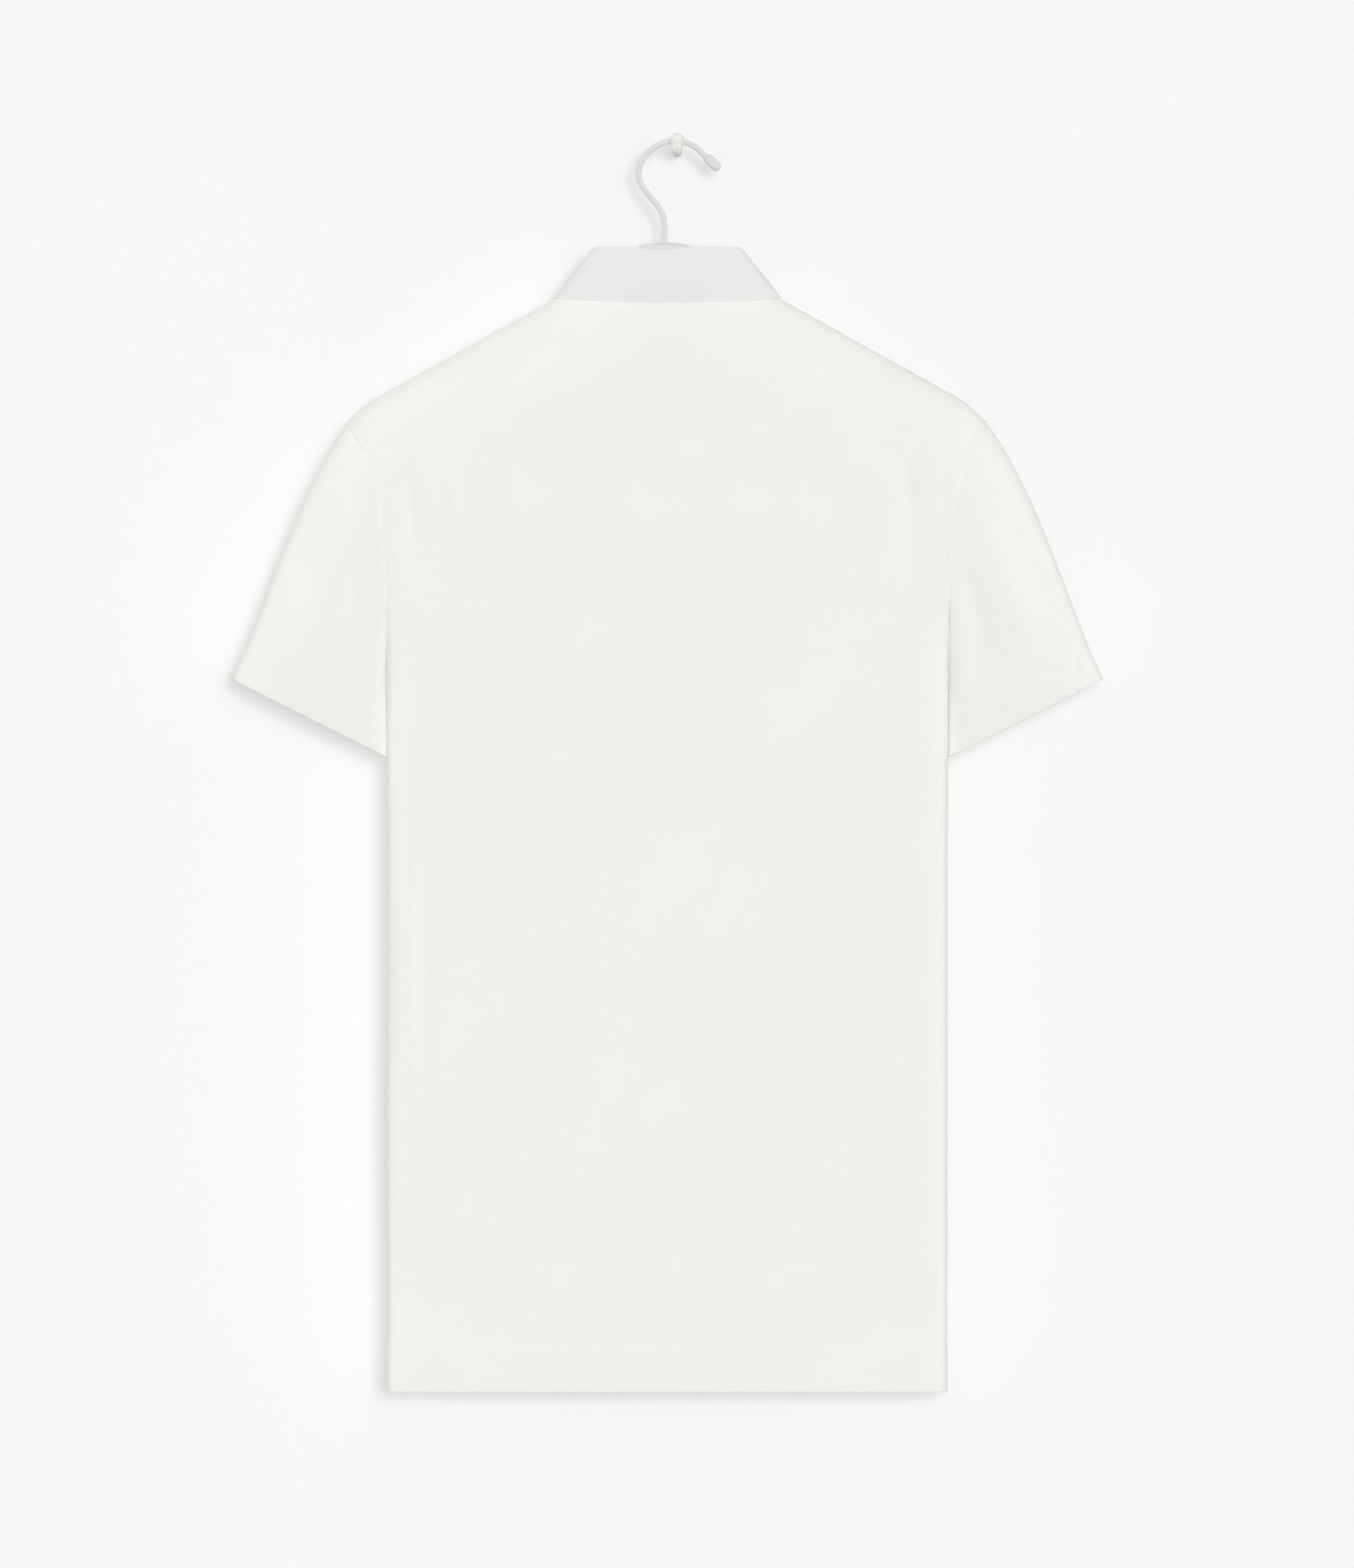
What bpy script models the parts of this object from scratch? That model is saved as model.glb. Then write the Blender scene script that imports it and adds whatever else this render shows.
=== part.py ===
"""A short-sleeved linen shirt, hung flat on a hanger whose wire hook hangs on a wall peg.

Metres, +Z up. The origin is the middle of the peg's face on the wall. The wall is the plane Y = 0,
the shirt's front faces it and its back faces -Y. +X is the wearer's right.
"""

import math
from collections import namedtuple

import bmesh
import bpy
from mathutils import Vector

NAME = "linen_shirt"

# Cloth
CLOTH = 0.0012
SEAM_GAP = 0.0003
SIDE_SEAM_HALF = 0.00022
LAYER = CLOTH + SEAM_GAP

# Where the shirt hangs
SHIRT_X = -0.0068
HANGER_Y = -0.036
BACK_REACH = 0.030
FRONT_REACH = 0.0265

# Body
BODY_HALF = 0.1996
HEM_Z = -0.8847
SQUARENESS = 6.0
RIDGE_DROP = 0.090
BODY_STEPS = 9
ACROSS_FLAT_STEPS = 8
ACROSS_TURN_STEPS = 5
ACROSS_FLAT_END = 0.90

# Shoulders
NECK_X = 0.0812
NECK_Z = -0.1066
SHOULDER_SLOPE = 0.5563
ROUND_FROM_X = 0.205
ROUNDING = 13.4
TIP_X = 0.2285
TIP_Z = -0.1960

# Armholes
UNDERARM_Z = -0.358
ARMHOLE_POWER = 4.2
ARMHOLE_FULLNESS = 0.93
ARMHOLE_ROUNDING = 2.6
YOKE_CORNER_BACK = 39.0
YOKE_CORNER_FRONT = 50.0
YOKE_BACK_STEPS = 6
YOKE_FRONT_STEPS = 4
YOKE_SEAM_STEPS = 12
YOKE_ROWS = 7
BACK_RIM_STEPS = 11
FRONT_RIM_STEPS = 10

# Sleeves
CUFF_OUTER = (0.3100, -0.3776)
CUFF_INNER = (0.2000, -0.4327)
CUFF_REACH = 0.021
SLEEVE_SQUARENESS = 3.2
SLEEVE_STEPS = 8
SLEEVE_FIRST = 0.0035
SLEEVE_KICK_OUT = 0.030
SLEEVE_KICK_UP = 0.024

# Yoke seam on the back
YOKE_MIDDLE_Z = -0.2021

# Neckline, collar stand and collar
NECK_RING_X = 0.074
NECK_SIDE_Z = -0.1026
NECK_BACK_Z = -0.1040
NECK_FRONT_Z = -0.1720
NECK_SCOOP = 1.25
NECK_STEP = 10.0
NECK_SEAM = 110.0
NECK_CORNER = 60.0
LAP_ANGLE = 12.0
STAND_FOOT_UP = 0.0006
STAND_FOOT_IN = 0.0004
STAND_BULGE = 0.0002
STAND_TOP_IN = 0.0010
STAND_LAP = 0.55 * LAYER
FOLD_X = 0.0528
FOLD_CORNER = 0.62
FOLD_BACK_RISE = 0.4
FOLD_BACK_Z = -0.0700
FOLD_SIDE_Z = -0.0755
FOLD_FRONT_Z = -0.1430
FOLD_BACK_REACH = 0.0190
FOLD_FRONT_REACH = 0.0205
LEAF_END = 173.0
LEAF_BACK_Z = -0.1097
LEAF_SIDE_X = 0.0801
COLLAR_POINT = (0.0600, -0.2020)
LEAF_LIFT = 0.0022
LEAF_OFF = 0.0041
LEAF_UP = 0.0006
LEAF_BULGE = 0.0032
LEAF_BULGE_SIDE = 0.0020
LEAF_CLOTH = 0.0014
LEAF_SETTLED = 0.4
LEAF_CLEAR = 0.0004
LEAF_ROWS = 5
LEAF_BACK_STEPS = 22
LEAF_FRONT_STEPS = 10

# Front
LAP = NECK_RING_X * math.sin(math.radians(LAP_ANGLE))
UNDER_LAP_FADE = 0.030
NARROWEST_COLUMN = 0.005
BAND_HALF = 0.0150
BAND_TOP_DROP = 0.0012
BAND_HEM_UP = 0.0005
BAND_STEPS = 16

# Buttons
BUTTON_RADIUS = 0.0055
BUTTON_THICK = 0.0022
BUTTON_BEVEL = 0.0005
BUTTON_COUNT = 6
BUTTON_TOP_Z = -0.222
BUTTON_STEP = 0.095
STAND_BUTTON_Z = -0.159
STAND_BUTTON_SHARE = 0.45
STAND_BUTTON_GAP = 0.0004

# Hanger
ARM_RADIUS = 0.0046
ARM_GAP = 0.0011
ARM_MIDDLE_HALF = 0.038
ARM_END_X = 0.206
CAP_HALF = (0.0200, 0.0080)
CAP_TOP_Z = -0.0658
CAP_THICK = 0.0058
CAP_BEVEL = 0.0014
ARM_MIDDLE_Z = CAP_TOP_Z - CAP_THICK - ARM_RADIUS
WIRE_RADIUS = 0.00205
STEM_X = -0.0087
TIP_RADIUS = 0.0036
TIP_SHARES = (0.86, 1.0, 1.0, 0.97, 0.72)
ARM_STEPS = 44

# Wall peg
PEG_SHAFT = 0.0387
PEG_BASE_RADIUS = 0.0034
PEG_NECK_RADIUS = 0.00425
PEG_BEND_RADIUS = 0.0050
PEG_BEND_STEPS = 6
KNOB_RADIUS = 0.0052
KNOB_Z = 0.0080
KNOB_FROM = -32.0
KNOB_TO = 76.0
KNOB_STEPS = 9
PEG_SEGMENTS = 24

Fold = namedtuple("Fold", "side x_top z_top x_low z_low half_width height")
FOLDS = (
    Fold(-1, -0.178, -0.420, -0.182, -0.760, 0.016, 0.0016),
    Fold(-1, 0.170, -0.350, 0.060, -0.560, 0.040, 0.0018),
    Fold(-1, 0.060, -0.560, -0.040, -0.790, 0.045, 0.0015),
    Fold(-1, -0.175, -0.222, -0.180, -0.305, 0.012, -0.0013),
    Fold(-1, 0.185, -0.222, 0.178, -0.310, 0.012, -0.0013),
    Fold(1, -0.110, -0.260, -0.085, -0.700, 0.035, 0.0014),
    Fold(1, 0.115, -0.300, 0.090, -0.760, 0.035, 0.0014),
)

Finish = namedtuple("Finish", "red green blue roughness metallic")
LINEN = Finish(0.863, 0.871, 0.831, 0.90, 0.0)
COLLAR_LINEN = Finish(0.831, 0.815, 0.823, 0.90, 0.0)
BUTTON_FINISH = Finish(0.880, 0.870, 0.830, 0.25, 0.0)
HANGER_FINISH = Finish(0.730, 0.730, 0.730, 0.45, 0.0)
PEG_FINISH = Finish(0.720, 0.720, 0.705, 0.60, 0.0)


def material(name, finish):
    """A Principled material with the piece's colour, roughness and metallic value."""
    made = bpy.data.materials.new(name)
    made.use_nodes = True
    shader = made.node_tree.nodes["Principled BSDF"]
    shader.inputs["Base Color"].default_value = (finish.red, finish.green, finish.blue, 1.0)
    shader.inputs["Roughness"].default_value = finish.roughness
    shader.inputs["Metallic"].default_value = finish.metallic
    return made


def add_object(name, data, finish, collection):
    """An object of this data, with its own material, in the collection."""
    made = bpy.data.objects.new(name, data)
    data.materials.append(material(name, finish))
    collection.objects.link(made)
    return made


def mix(low, high, share):
    return low + (high - low) * share


def steps(first, last, count):
    """count + 1 even steps from first to last."""
    return [mix(first, last, i / count) for i in range(count + 1)]


# The garment's outer surface: a flat tube with a rounded ridge along the shoulders

def ridge_z(x):
    """The height of the shoulder ridge at x from the shirt's middle."""
    out = abs(x)
    rounded = max(0.0, out - ROUND_FROM_X)
    return NECK_Z - SHOULDER_SLOPE * (out - NECK_X) - ROUNDING * rounded ** 2


def armhole_share(degrees):
    """How far down the armhole an angle lies: 0 at the shoulder tip, 1 at the underarm."""
    return (1 - math.cos(math.radians(degrees))) / 2


def armhole_z(share):
    return mix(TIP_Z, UNDERARM_Z, share)


def armhole_x(share):
    return BODY_HALF + (TIP_X - BODY_HALF) * (1 - share) ** ARMHOLE_POWER


def half_width(z):
    """Half the width of the whole tube at z: the body's below the underarm, wider above it."""
    if z <= UNDERARM_Z:
        return BODY_HALF
    share = max(0.0, (z - TIP_Z) / (UNDERARM_Z - TIP_Z))
    below = max(0.0, 2 * share - 1)
    fullness = ARMHOLE_FULLNESS * (1 - below ** ARMHOLE_ROUNDING) ** (1 / ARMHOLE_ROUNDING)
    return armhole_x(share) / (1 - fullness ** SQUARENESS) ** (1 / SQUARENESS)


def edge_x(z):
    """Where a body panel ends at z: at the armhole above the underarm, and at the side seam below."""
    share = (z - TIP_Z) / (UNDERARM_Z - TIP_Z)
    return armhole_x(min(1.0, max(0.0, share)))


def fold_lift(x, z, side):
    """The height of the soft folds at a point of the back (side -1) or the front (side 1)."""
    lift = 0.0
    for fold in FOLDS:
        if fold.side != side:
            continue
        run = Vector((fold.x_low - fold.x_top, fold.z_low - fold.z_top))
        away = Vector((x - fold.x_top, z - fold.z_top))
        along = away.dot(run) / run.length_squared
        off = abs(away.cross(run)) / run.length / fold.half_width
        if 0 < along < 1 and off < 1:
            lift += fold.height * (1 - off ** 2) ** 2 * math.sin(math.pi * along)
    return lift


def depth(x, z, side):
    """How far the outer surface stands off the hanger's plane."""
    reach = BACK_REACH if side < 0 else FRONT_REACH
    across = min(1.0, abs(x) / half_width(z))
    round_side = (1 - across ** SQUARENESS) ** (1 / SQUARENESS)
    below = min(1.0, max(0.0, (ridge_z(x) - z) / RIDGE_DROP))
    round_top = math.sqrt(1 - (1 - below) ** 2)
    return (reach + fold_lift(x, z, side)) * round_side * round_top


def on_surface(x, z, side, lift=0.0):
    """A point of the outer surface, moved out by lift."""
    off = max(depth(x, z, side), SIDE_SEAM_HALF) + lift
    return Vector((SHIRT_X + x, HANGER_Y + side * off, z))


def surface_grid(name, rows, finish, collection, thick=CLOTH, closed=False):
    """A cloth wall: rows of outer points as an open surface, made solid inwards."""
    mesh = bmesh.new()
    grid = [[mesh.verts.new(point) for point in row] for row in rows]
    columns = len(rows[0])
    for upper, lower in zip(grid, grid[1:]):
        for i in range(columns if closed else columns - 1):
            j = (i + 1) % columns
            mesh.faces.new((upper[i], lower[i], lower[j], upper[j]))
    data = bpy.data.meshes.new(name)
    mesh.to_mesh(data)
    mesh.free()
    data.shade_smooth()
    piece = add_object(name, data, finish, collection)
    wall = piece.modifiers.new("Cloth", "SOLIDIFY")
    wall.thickness = thick
    wall.offset = -1.0
    return piece


def across_shares():
    """Shares of a panel's half width, from 0 to 1, close together where the side turns."""
    start = math.asin(ACROSS_FLAT_END ** (SQUARENESS / 2))
    flat = steps(0.0, ACROSS_FLAT_END, ACROSS_FLAT_STEPS)
    turn = steps(start, math.pi / 2, ACROSS_TURN_STEPS)[1:]
    return flat + [math.sin(angle) ** (2 / SQUARENESS) for angle in turn]


def armhole_heights(corner, count):
    """Heights down a body panel: down its armhole from the corner, then down its side to the hem."""
    armhole = [armhole_z(armhole_share(angle)) for angle in steps(corner, 180, count)]
    return armhole + steps(UNDERARM_Z, HEM_Z, BODY_STEPS)[1:]


def yoke_seam_z(x):
    """The yoke seam on the back, which drops a little to the armholes."""
    corner = armhole_share(YOKE_CORNER_BACK)
    return mix(YOKE_MIDDLE_Z, armhole_z(corner), (x / armhole_x(corner)) ** 2)


def back_panel(collection):
    """The back, from the yoke seam to the hem."""
    half = across_shares()
    shares = [-share for share in reversed(half[1:])] + half
    heights = armhole_heights(YOKE_CORNER_BACK, BACK_RIM_STEPS)
    top_z = heights[0]
    gap = 1.5 * SEAM_GAP
    rows = []
    for z in heights:
        level = max(0.0, (z - UNDERARM_Z) / (top_z - UNDERARM_Z))
        row = []
        for share in shares:
            x = share * edge_x(z)
            rise = yoke_seam_z(x) - yoke_seam_z(edge_x(top_z))
            row.append(on_surface(x, z + (rise - gap) * level, -1))
        rows.append(row)
    return surface_grid("back_panel", rows, LINEN, collection)


def neck_point(degrees):
    """(x, z, side) on the neckline: 0 is the back's middle, 90 the wearer's right, 180 the front's."""
    angle = math.radians(degrees)
    x = NECK_RING_X * math.sin(angle)
    forward = -math.cos(angle)
    if forward < 0:
        return x, mix(NECK_SIDE_Z, NECK_BACK_Z, -forward), -1
    return x, mix(NECK_SIDE_Z, NECK_FRONT_Z, forward ** NECK_SCOOP), 1


def over_ridge(x, z, side):
    """A surface point as x and the signed root of its drop below the ridge, smooth over the ridge."""
    return x, side * math.sqrt(max(0.0, ridge_z(x) - z))


def from_ridge(x, root):
    """The surface point of an (x, root) pair."""
    return on_surface(x, ridge_z(x) - root ** 2, 1 if root > 0 else -1)


def yoke_outline():
    """Pairs of neckline and outer points, from one shoulder's front seam to the back's middle."""
    pairs = []
    for neck, arm in zip(
        steps(NECK_SEAM, 90, YOKE_FRONT_STEPS),
        steps(YOKE_CORNER_FRONT, 0, YOKE_FRONT_STEPS),
    ):
        share = armhole_share(arm)
        pairs.append((neck_point(neck), (armhole_x(share), armhole_z(share), 1)))
    for neck, arm in zip(
        steps(90, NECK_CORNER, YOKE_BACK_STEPS)[1:],
        steps(0, YOKE_CORNER_BACK, YOKE_BACK_STEPS)[1:],
    ):
        share = armhole_share(arm)
        pairs.append((neck_point(neck), (armhole_x(share), armhole_z(share), -1)))
    corner_x = pairs[-1][1][0]
    for neck, x in zip(
        steps(NECK_CORNER, 0, YOKE_SEAM_STEPS)[1:],
        steps(corner_x, 0, YOKE_SEAM_STEPS)[1:],
    ):
        pairs.append((neck_point(neck), (x, yoke_seam_z(x), -1)))
    return pairs


def back_yoke(collection):
    """The yoke: a band round the back of the neck and over both shoulders."""
    half = []
    for inner, outer in yoke_outline():
        xs, roots = zip(over_ridge(*inner), over_ridge(*outer))
        half.append(list(zip(steps(*xs, YOKE_ROWS), steps(*roots, YOKE_ROWS))))
    mirrored = [[(-x, root) for x, root in line] for line in half]
    lines = mirrored + half[-2::-1]
    rows = [[from_ridge(*line[i]) for line in lines] for i in range(YOKE_ROWS + 1)]
    return surface_grid("back_yoke", rows, LINEN, collection)


def front_top(x):
    """The height of a front's top edge at x from the middle: the neckline, then the shoulder seam."""
    neck_x, neck_z, _ = neck_point(NECK_SEAM)
    if x < neck_x - SEAM_GAP:
        forward = math.sqrt(1 - (x / NECK_RING_X) ** 2)
        return mix(NECK_SIDE_Z, NECK_FRONT_Z, forward ** NECK_SCOOP)
    corner = armhole_share(YOKE_CORNER_FRONT)
    corner_x = armhole_x(corner)
    along = (x - neck_x) / (corner_x - neck_x)
    root_neck = over_ridge(neck_x, neck_z, 1)[1]
    root_arm = over_ridge(corner_x, armhole_z(corner), 1)[1]
    return ridge_z(x) - mix(root_neck, root_arm, along) ** 2 - 3 * SEAM_GAP


def front_panel(name, sign, under, collection):
    """One front, from the neckline and shoulder seam to the hem, on the side that sign gives.

    under is 1 for the front that lies below the other at the lap.
    """
    heights = armhole_heights(YOKE_CORNER_FRONT, FRONT_RIM_STEPS)
    corner_z = heights[0]
    corner_x = edge_x(corner_z)
    neck_steps = round((180 - NECK_SEAM) / NECK_STEP)
    neck_angles = [180 + LAP_ANGLE] + steps(180, NECK_SEAM, neck_steps)
    top_xs = [neck_point(angle)[0] for angle in neck_angles]
    past_neck = top_xs[-1] + NARROWEST_COLUMN
    top_xs += [share * corner_x for share in across_shares() if share * corner_x > past_neck]
    layer_under = under * (LAYER + SEAM_GAP / 2)
    rows = []
    for z_edge in heights:
        level = min(1.0, (corner_z - z_edge) / (corner_z - UNDERARM_Z))
        row = []
        for top_x in top_xs:
            share = (top_x + LAP) / (corner_x + LAP)
            x = mix(-LAP, edge_x(z_edge), share)
            z = mix(front_top(top_x) - SEAM_GAP, UNDERARM_Z, level) if level < 1 else z_edge
            near_lap = min(1.0, max(0.0, (LAP + UNDER_LAP_FADE - x) / UNDER_LAP_FADE))
            row.append(on_surface(sign * x, z, 1, -layer_under * near_lap))
        rows.append(row)
    if sign > 0:
        rows = [list(reversed(row)) for row in rows]
    return surface_grid(name, rows, LINEN, collection)


def front_band(collection):
    """The buttonhole band, laid on the left front's edge."""
    heights = steps(NECK_FRONT_Z - BAND_TOP_DROP, HEM_Z + BAND_HEM_UP, BAND_STEPS)
    rows = []
    for z in heights:
        xs = reversed(steps(-BAND_HALF, BAND_HALF, 4))
        rows.append([on_surface(x, z, 1, LAYER) for x in xs])
    return surface_grid("front_placket", rows, LINEN, collection)


def sleeve_start(share, side):
    """The sleeve's first point at a share down the armhole, just outside the body's edge."""
    x, z = armhole_x(share), armhole_z(share)
    return Vector((x + SEAM_GAP, side * max(depth(x, z, side), 0.0), z))


def sleeve_point(share, side, along):
    """A point of the sleeve: share from its outer to its inner edge, along from armhole to cuff."""
    start = sleeve_start(share, side)
    chord = abs(2 * share - 1)
    cuff_round = (1 - chord ** SLEEVE_SQUARENESS) ** (1 / SLEEVE_SQUARENESS)
    end = Vector(
        (
            mix(CUFF_OUTER[0], CUFF_INNER[0], share),
            side * CUFF_REACH * cuff_round,
            mix(CUFF_OUTER[1], CUFF_INNER[1], share),
        )
    )
    run = end - start
    outer = (1 - share) ** 2
    kick = Vector((SLEEVE_KICK_OUT * outer, 0.0, SLEEVE_KICK_UP * outer))
    swell = along * (1 - along) ** 2
    return start + run * along + kick * swell


def sleeve_angles():
    """Angles round the armhole's back and front, the same as the body panels' own rows."""
    back = steps(0, YOKE_CORNER_BACK, YOKE_BACK_STEPS)
    back += steps(YOKE_CORNER_BACK, 180, BACK_RIM_STEPS)[1:]
    front = steps(0, YOKE_CORNER_FRONT, YOKE_FRONT_STEPS)
    front += steps(YOKE_CORNER_FRONT, 180, FRONT_RIM_STEPS)[1:]
    return [(angle, -1) for angle in back] + [(angle, 1) for angle in reversed(front[1:-1])]


def sleeve(name, sign, collection):
    """A sleeve: a flat tube from the armhole to the cuff."""
    alongs = [SLEEVE_FIRST] + steps(0.0, 1.0, SLEEVE_STEPS)[1:]
    ring = sleeve_angles()
    if sign < 0:
        ring = list(reversed(ring))
    rows = []
    for along in alongs:
        row = []
        for angle, side in ring:
            point = sleeve_point(armhole_share(angle), side, along)
            row.append(Vector((SHIRT_X + sign * point.x, HANGER_Y + point.y, point.z)))
        rows.append(row)
    rows = [list(reversed(row)) for row in rows]
    return surface_grid(name, rows, LINEN, collection, closed=True)


def fold_point(degrees):
    """A point of the collar's fold line."""
    angle = math.radians(degrees)
    forward = -math.cos(angle)
    sine = math.sin(angle)
    x = FOLD_X * math.copysign(abs(sine) ** FOLD_CORNER, sine)
    if forward < 0:
        reach = FOLD_BACK_REACH
        z = mix(FOLD_SIDE_Z, FOLD_BACK_Z, min(1.0, -forward / FOLD_BACK_RISE))
    else:
        reach = FOLD_FRONT_REACH
        z = mix(FOLD_SIDE_Z, FOLD_FRONT_Z, forward)
    return Vector((SHIRT_X + x, HANGER_Y + reach * forward, z))


def outward(degrees):
    """The way out of the flat ring of the neck at an angle round it."""
    angle = math.radians(degrees)
    flatness = (FOLD_BACK_REACH + FOLD_FRONT_REACH) / (2 * FOLD_X)
    return Vector((flatness * math.sin(angle), -math.cos(angle), 0.0)).normalized()


def collar_stand(collection):
    """The band round the neck, its left end lapped over its right end at the front."""
    end = 180 + LAP_ANGLE
    angles = [-end] + steps(-180, 180, round(360 / NECK_STEP)) + [end]
    rows = [[], [], [], []]
    for degrees in angles:
        x, z, side = neck_point(degrees)
        out = outward(degrees)
        foot = on_surface(x, z, side) + Vector((0, 0, STAND_FOOT_UP)) - out * STAND_FOOT_IN
        lap = -STAND_LAP * (degrees / 180) ** 5
        for i, row in enumerate(rows):
            share = i / (len(rows) - 1)
            point = foot.lerp(fold_point(degrees) - out * STAND_TOP_IN, share)
            row.append(point + out * (lap + STAND_BULGE * math.sin(math.pi * share)))
    rows.reverse()
    return surface_grid("collar_stand", rows, COLLAR_LINEN, collection)


def surface_normal(x, root):
    """The way straight out of the surface at an (x, root) pair."""
    small_x = 0.0005
    small_root = 0.002
    right = from_ridge(x + small_x, root) - from_ridge(x - small_x, root)
    forward = from_ridge(x, root + small_root) - from_ridge(x, root - small_root)
    return right.cross(forward).normalized()


def leaf_edge(degrees):
    """A point of the collar's outer edge, which lies on the yoke and then on the fronts."""
    angle = math.radians(abs(degrees))
    sign = math.copysign(1.0, degrees)
    if abs(degrees) <= 90:
        x = LEAF_SIDE_X * math.sin(angle)
        z = mix(ridge_z(LEAF_SIDE_X), LEAF_BACK_Z, math.cos(angle))
        root = over_ridge(x, z, -1)[1]
    else:
        share = (abs(degrees) - 90) / (LEAF_END - 90)
        x = mix(LEAF_SIDE_X, COLLAR_POINT[0], share ** 1.5)
        root = over_ridge(*COLLAR_POINT, 1)[1] * share
    return from_ridge(sign * x, root) + surface_normal(sign * x, root) * LEAF_LIFT


def collar_leaf(collection):
    """The turned-down collar, from the fold line to its outer edge and points."""
    angles = steps(-LEAF_END, -90, LEAF_FRONT_STEPS) + steps(-90, 90, LEAF_BACK_STEPS)[1:]
    angles += steps(90, LEAF_END, LEAF_FRONT_STEPS)[1:]
    rows = []
    for share in steps(0.0, 1.0, LEAF_ROWS):
        row = []
        for degrees in angles:
            out = outward(degrees)
            bulge = mix(LEAF_BULGE, LEAF_BULGE_SIDE, abs(math.sin(math.radians(degrees))) ** 8)
            fold = fold_point(degrees) + out * LEAF_OFF + Vector((0, 0, LEAF_UP))
            point = fold.lerp(leaf_edge(degrees), share)
            point += out * bulge * math.sin(math.pi * share)
            if abs(degrees) > 90:
                clear = HANGER_Y + depth(point.x - SHIRT_X, point.z, 1) + LEAF_LIFT + LEAF_CLEAR
                settled = min(1.0, share / LEAF_SETTLED)
                point.y = max(point.y, mix(point.y, clear, settled))
            row.append(point)
        rows.append(row)
    return surface_grid("collar_leaf", rows, COLLAR_LINEN, collection, thick=LEAF_CLOTH)


def button(name, z, off, collection):
    """A round button on the front's middle, its face towards the wall."""
    mesh = bmesh.new()
    bmesh.ops.create_cone(
        mesh,
        cap_ends=True,
        segments=20,
        radius1=BUTTON_RADIUS,
        radius2=BUTTON_RADIUS,
        depth=BUTTON_THICK,
    )
    data = bpy.data.meshes.new(name)
    mesh.to_mesh(data)
    mesh.free()
    data.shade_smooth()
    data.set_sharp_from_angle(angle=math.radians(40))
    piece = add_object(name, data, BUTTON_FINISH, collection)
    piece.rotation_euler = (math.radians(90), 0, 0)
    piece.location = (SHIRT_X, HANGER_Y + off + BUTTON_THICK / 2, z)
    bevel = piece.modifiers.new("Rim", "BEVEL")
    bevel.width = BUTTON_BEVEL
    bevel.segments = 1
    return piece


def buttons(collection):
    """Six down the band and one on the collar stand."""
    for i in range(BUTTON_COUNT):
        z = BUTTON_TOP_Z - i * BUTTON_STEP
        off = depth(0, z, 1) + LAYER + SEAM_GAP
        button(f"button_{i + 1}", z, off, collection)
    stand_off = mix(depth(0, NECK_FRONT_Z, 1), FOLD_FRONT_REACH, STAND_BUTTON_SHARE)
    stand_off += LAYER + STAND_BUTTON_GAP
    button("button_stand", STAND_BUTTON_Z, stand_off, collection)


def tube(name, points, radius, finish, collection, radii=None, sides=3):
    """A curve object with filled caps through the points."""
    data = bpy.data.curves.new(name, "CURVE")
    data.dimensions = "3D"
    data.bevel_depth = radius
    data.bevel_resolution = sides
    data.use_fill_caps = True
    line = data.splines.new("POLY")
    line.points.add(len(points) - 1)
    for i, point in enumerate(points):
        line.points[i].co = (*point, 1.0)
        line.points[i].radius = radii[i] if radii else 1.0
    return add_object(name, data, finish, collection)


def arm_point(x):
    """The middle of the hanger's arm at x: under the shoulder ridge, arched flat at the middle."""
    off = CLOTH + ARM_GAP + ARM_RADIUS
    slope = SHOULDER_SLOPE + 2 * ROUNDING * max(0.0, abs(x) - ROUND_FROM_X)
    drop = off * math.sqrt(1 + slope ** 2)
    straight = ridge_z(x) - drop
    near = max(0.0, 1 - abs(x) / (2 * ARM_MIDDLE_HALF))
    top = ridge_z(0) - off * math.sqrt(1 + SHOULDER_SLOPE ** 2)
    return Vector((SHIRT_X + x, HANGER_Y, straight - (top - ARM_MIDDLE_Z) * near ** 2))


def hanger(collection):
    """The arms, the oval cap on their middle and the wire hook."""
    arms = [arm_point(x) for x in steps(-ARM_END_X, ARM_END_X, ARM_STEPS)]
    tube("hanger_arms", arms, ARM_RADIUS, HANGER_FINISH, collection)
    cap_mesh = bmesh.new()
    bmesh.ops.create_cone(
        cap_mesh, cap_ends=True, segments=28, radius1=1.0, radius2=1.0, depth=1.0
    )
    size = Vector((CAP_HALF[0], CAP_HALF[1], CAP_THICK))
    bmesh.ops.scale(cap_mesh, vec=size, verts=cap_mesh.verts)
    data = bpy.data.meshes.new("hanger_cap")
    cap_mesh.to_mesh(data)
    cap_mesh.free()
    cap = add_object("hanger_cap", data, HANGER_FINISH, collection)
    cap.location = (STEM_X, HANGER_Y, CAP_TOP_Z - CAP_THICK / 2)
    bevel = cap.modifiers.new("Rim", "BEVEL")
    bevel.width = CAP_BEVEL
    bevel.segments = 2
    tube("hanger_hook", hook_points(), WIRE_RADIUS, HANGER_FINISH, collection, hook_radii(), 2)


HookPoint = namedtuple("HookPoint", "x z")
HOOK_ROUTE = (
    HookPoint(-0.0087, CAP_TOP_Z + SEAM_GAP),
    HookPoint(-0.0087, -0.0510),
    HookPoint(-0.0105, -0.0447),
    HookPoint(-0.0192, -0.0310),
    HookPoint(-0.0242, -0.0248),
    HookPoint(-0.0267, -0.0180),
    HookPoint(-0.0260, -0.0087),
    HookPoint(-0.0211, -0.0012),
    HookPoint(-0.0130, 0.0043),
    HookPoint(-0.0050, 0.0063),
    HookPoint(0.0020, 0.0066),
    HookPoint(0.0075, 0.0052),
    HookPoint(0.0136, 0.0018),
    HookPoint(0.0175, -0.0014),
    HookPoint(0.0200, -0.0038),
    HookPoint(0.0300, -0.0134),
)
HOOK_PIECES = 4


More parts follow.
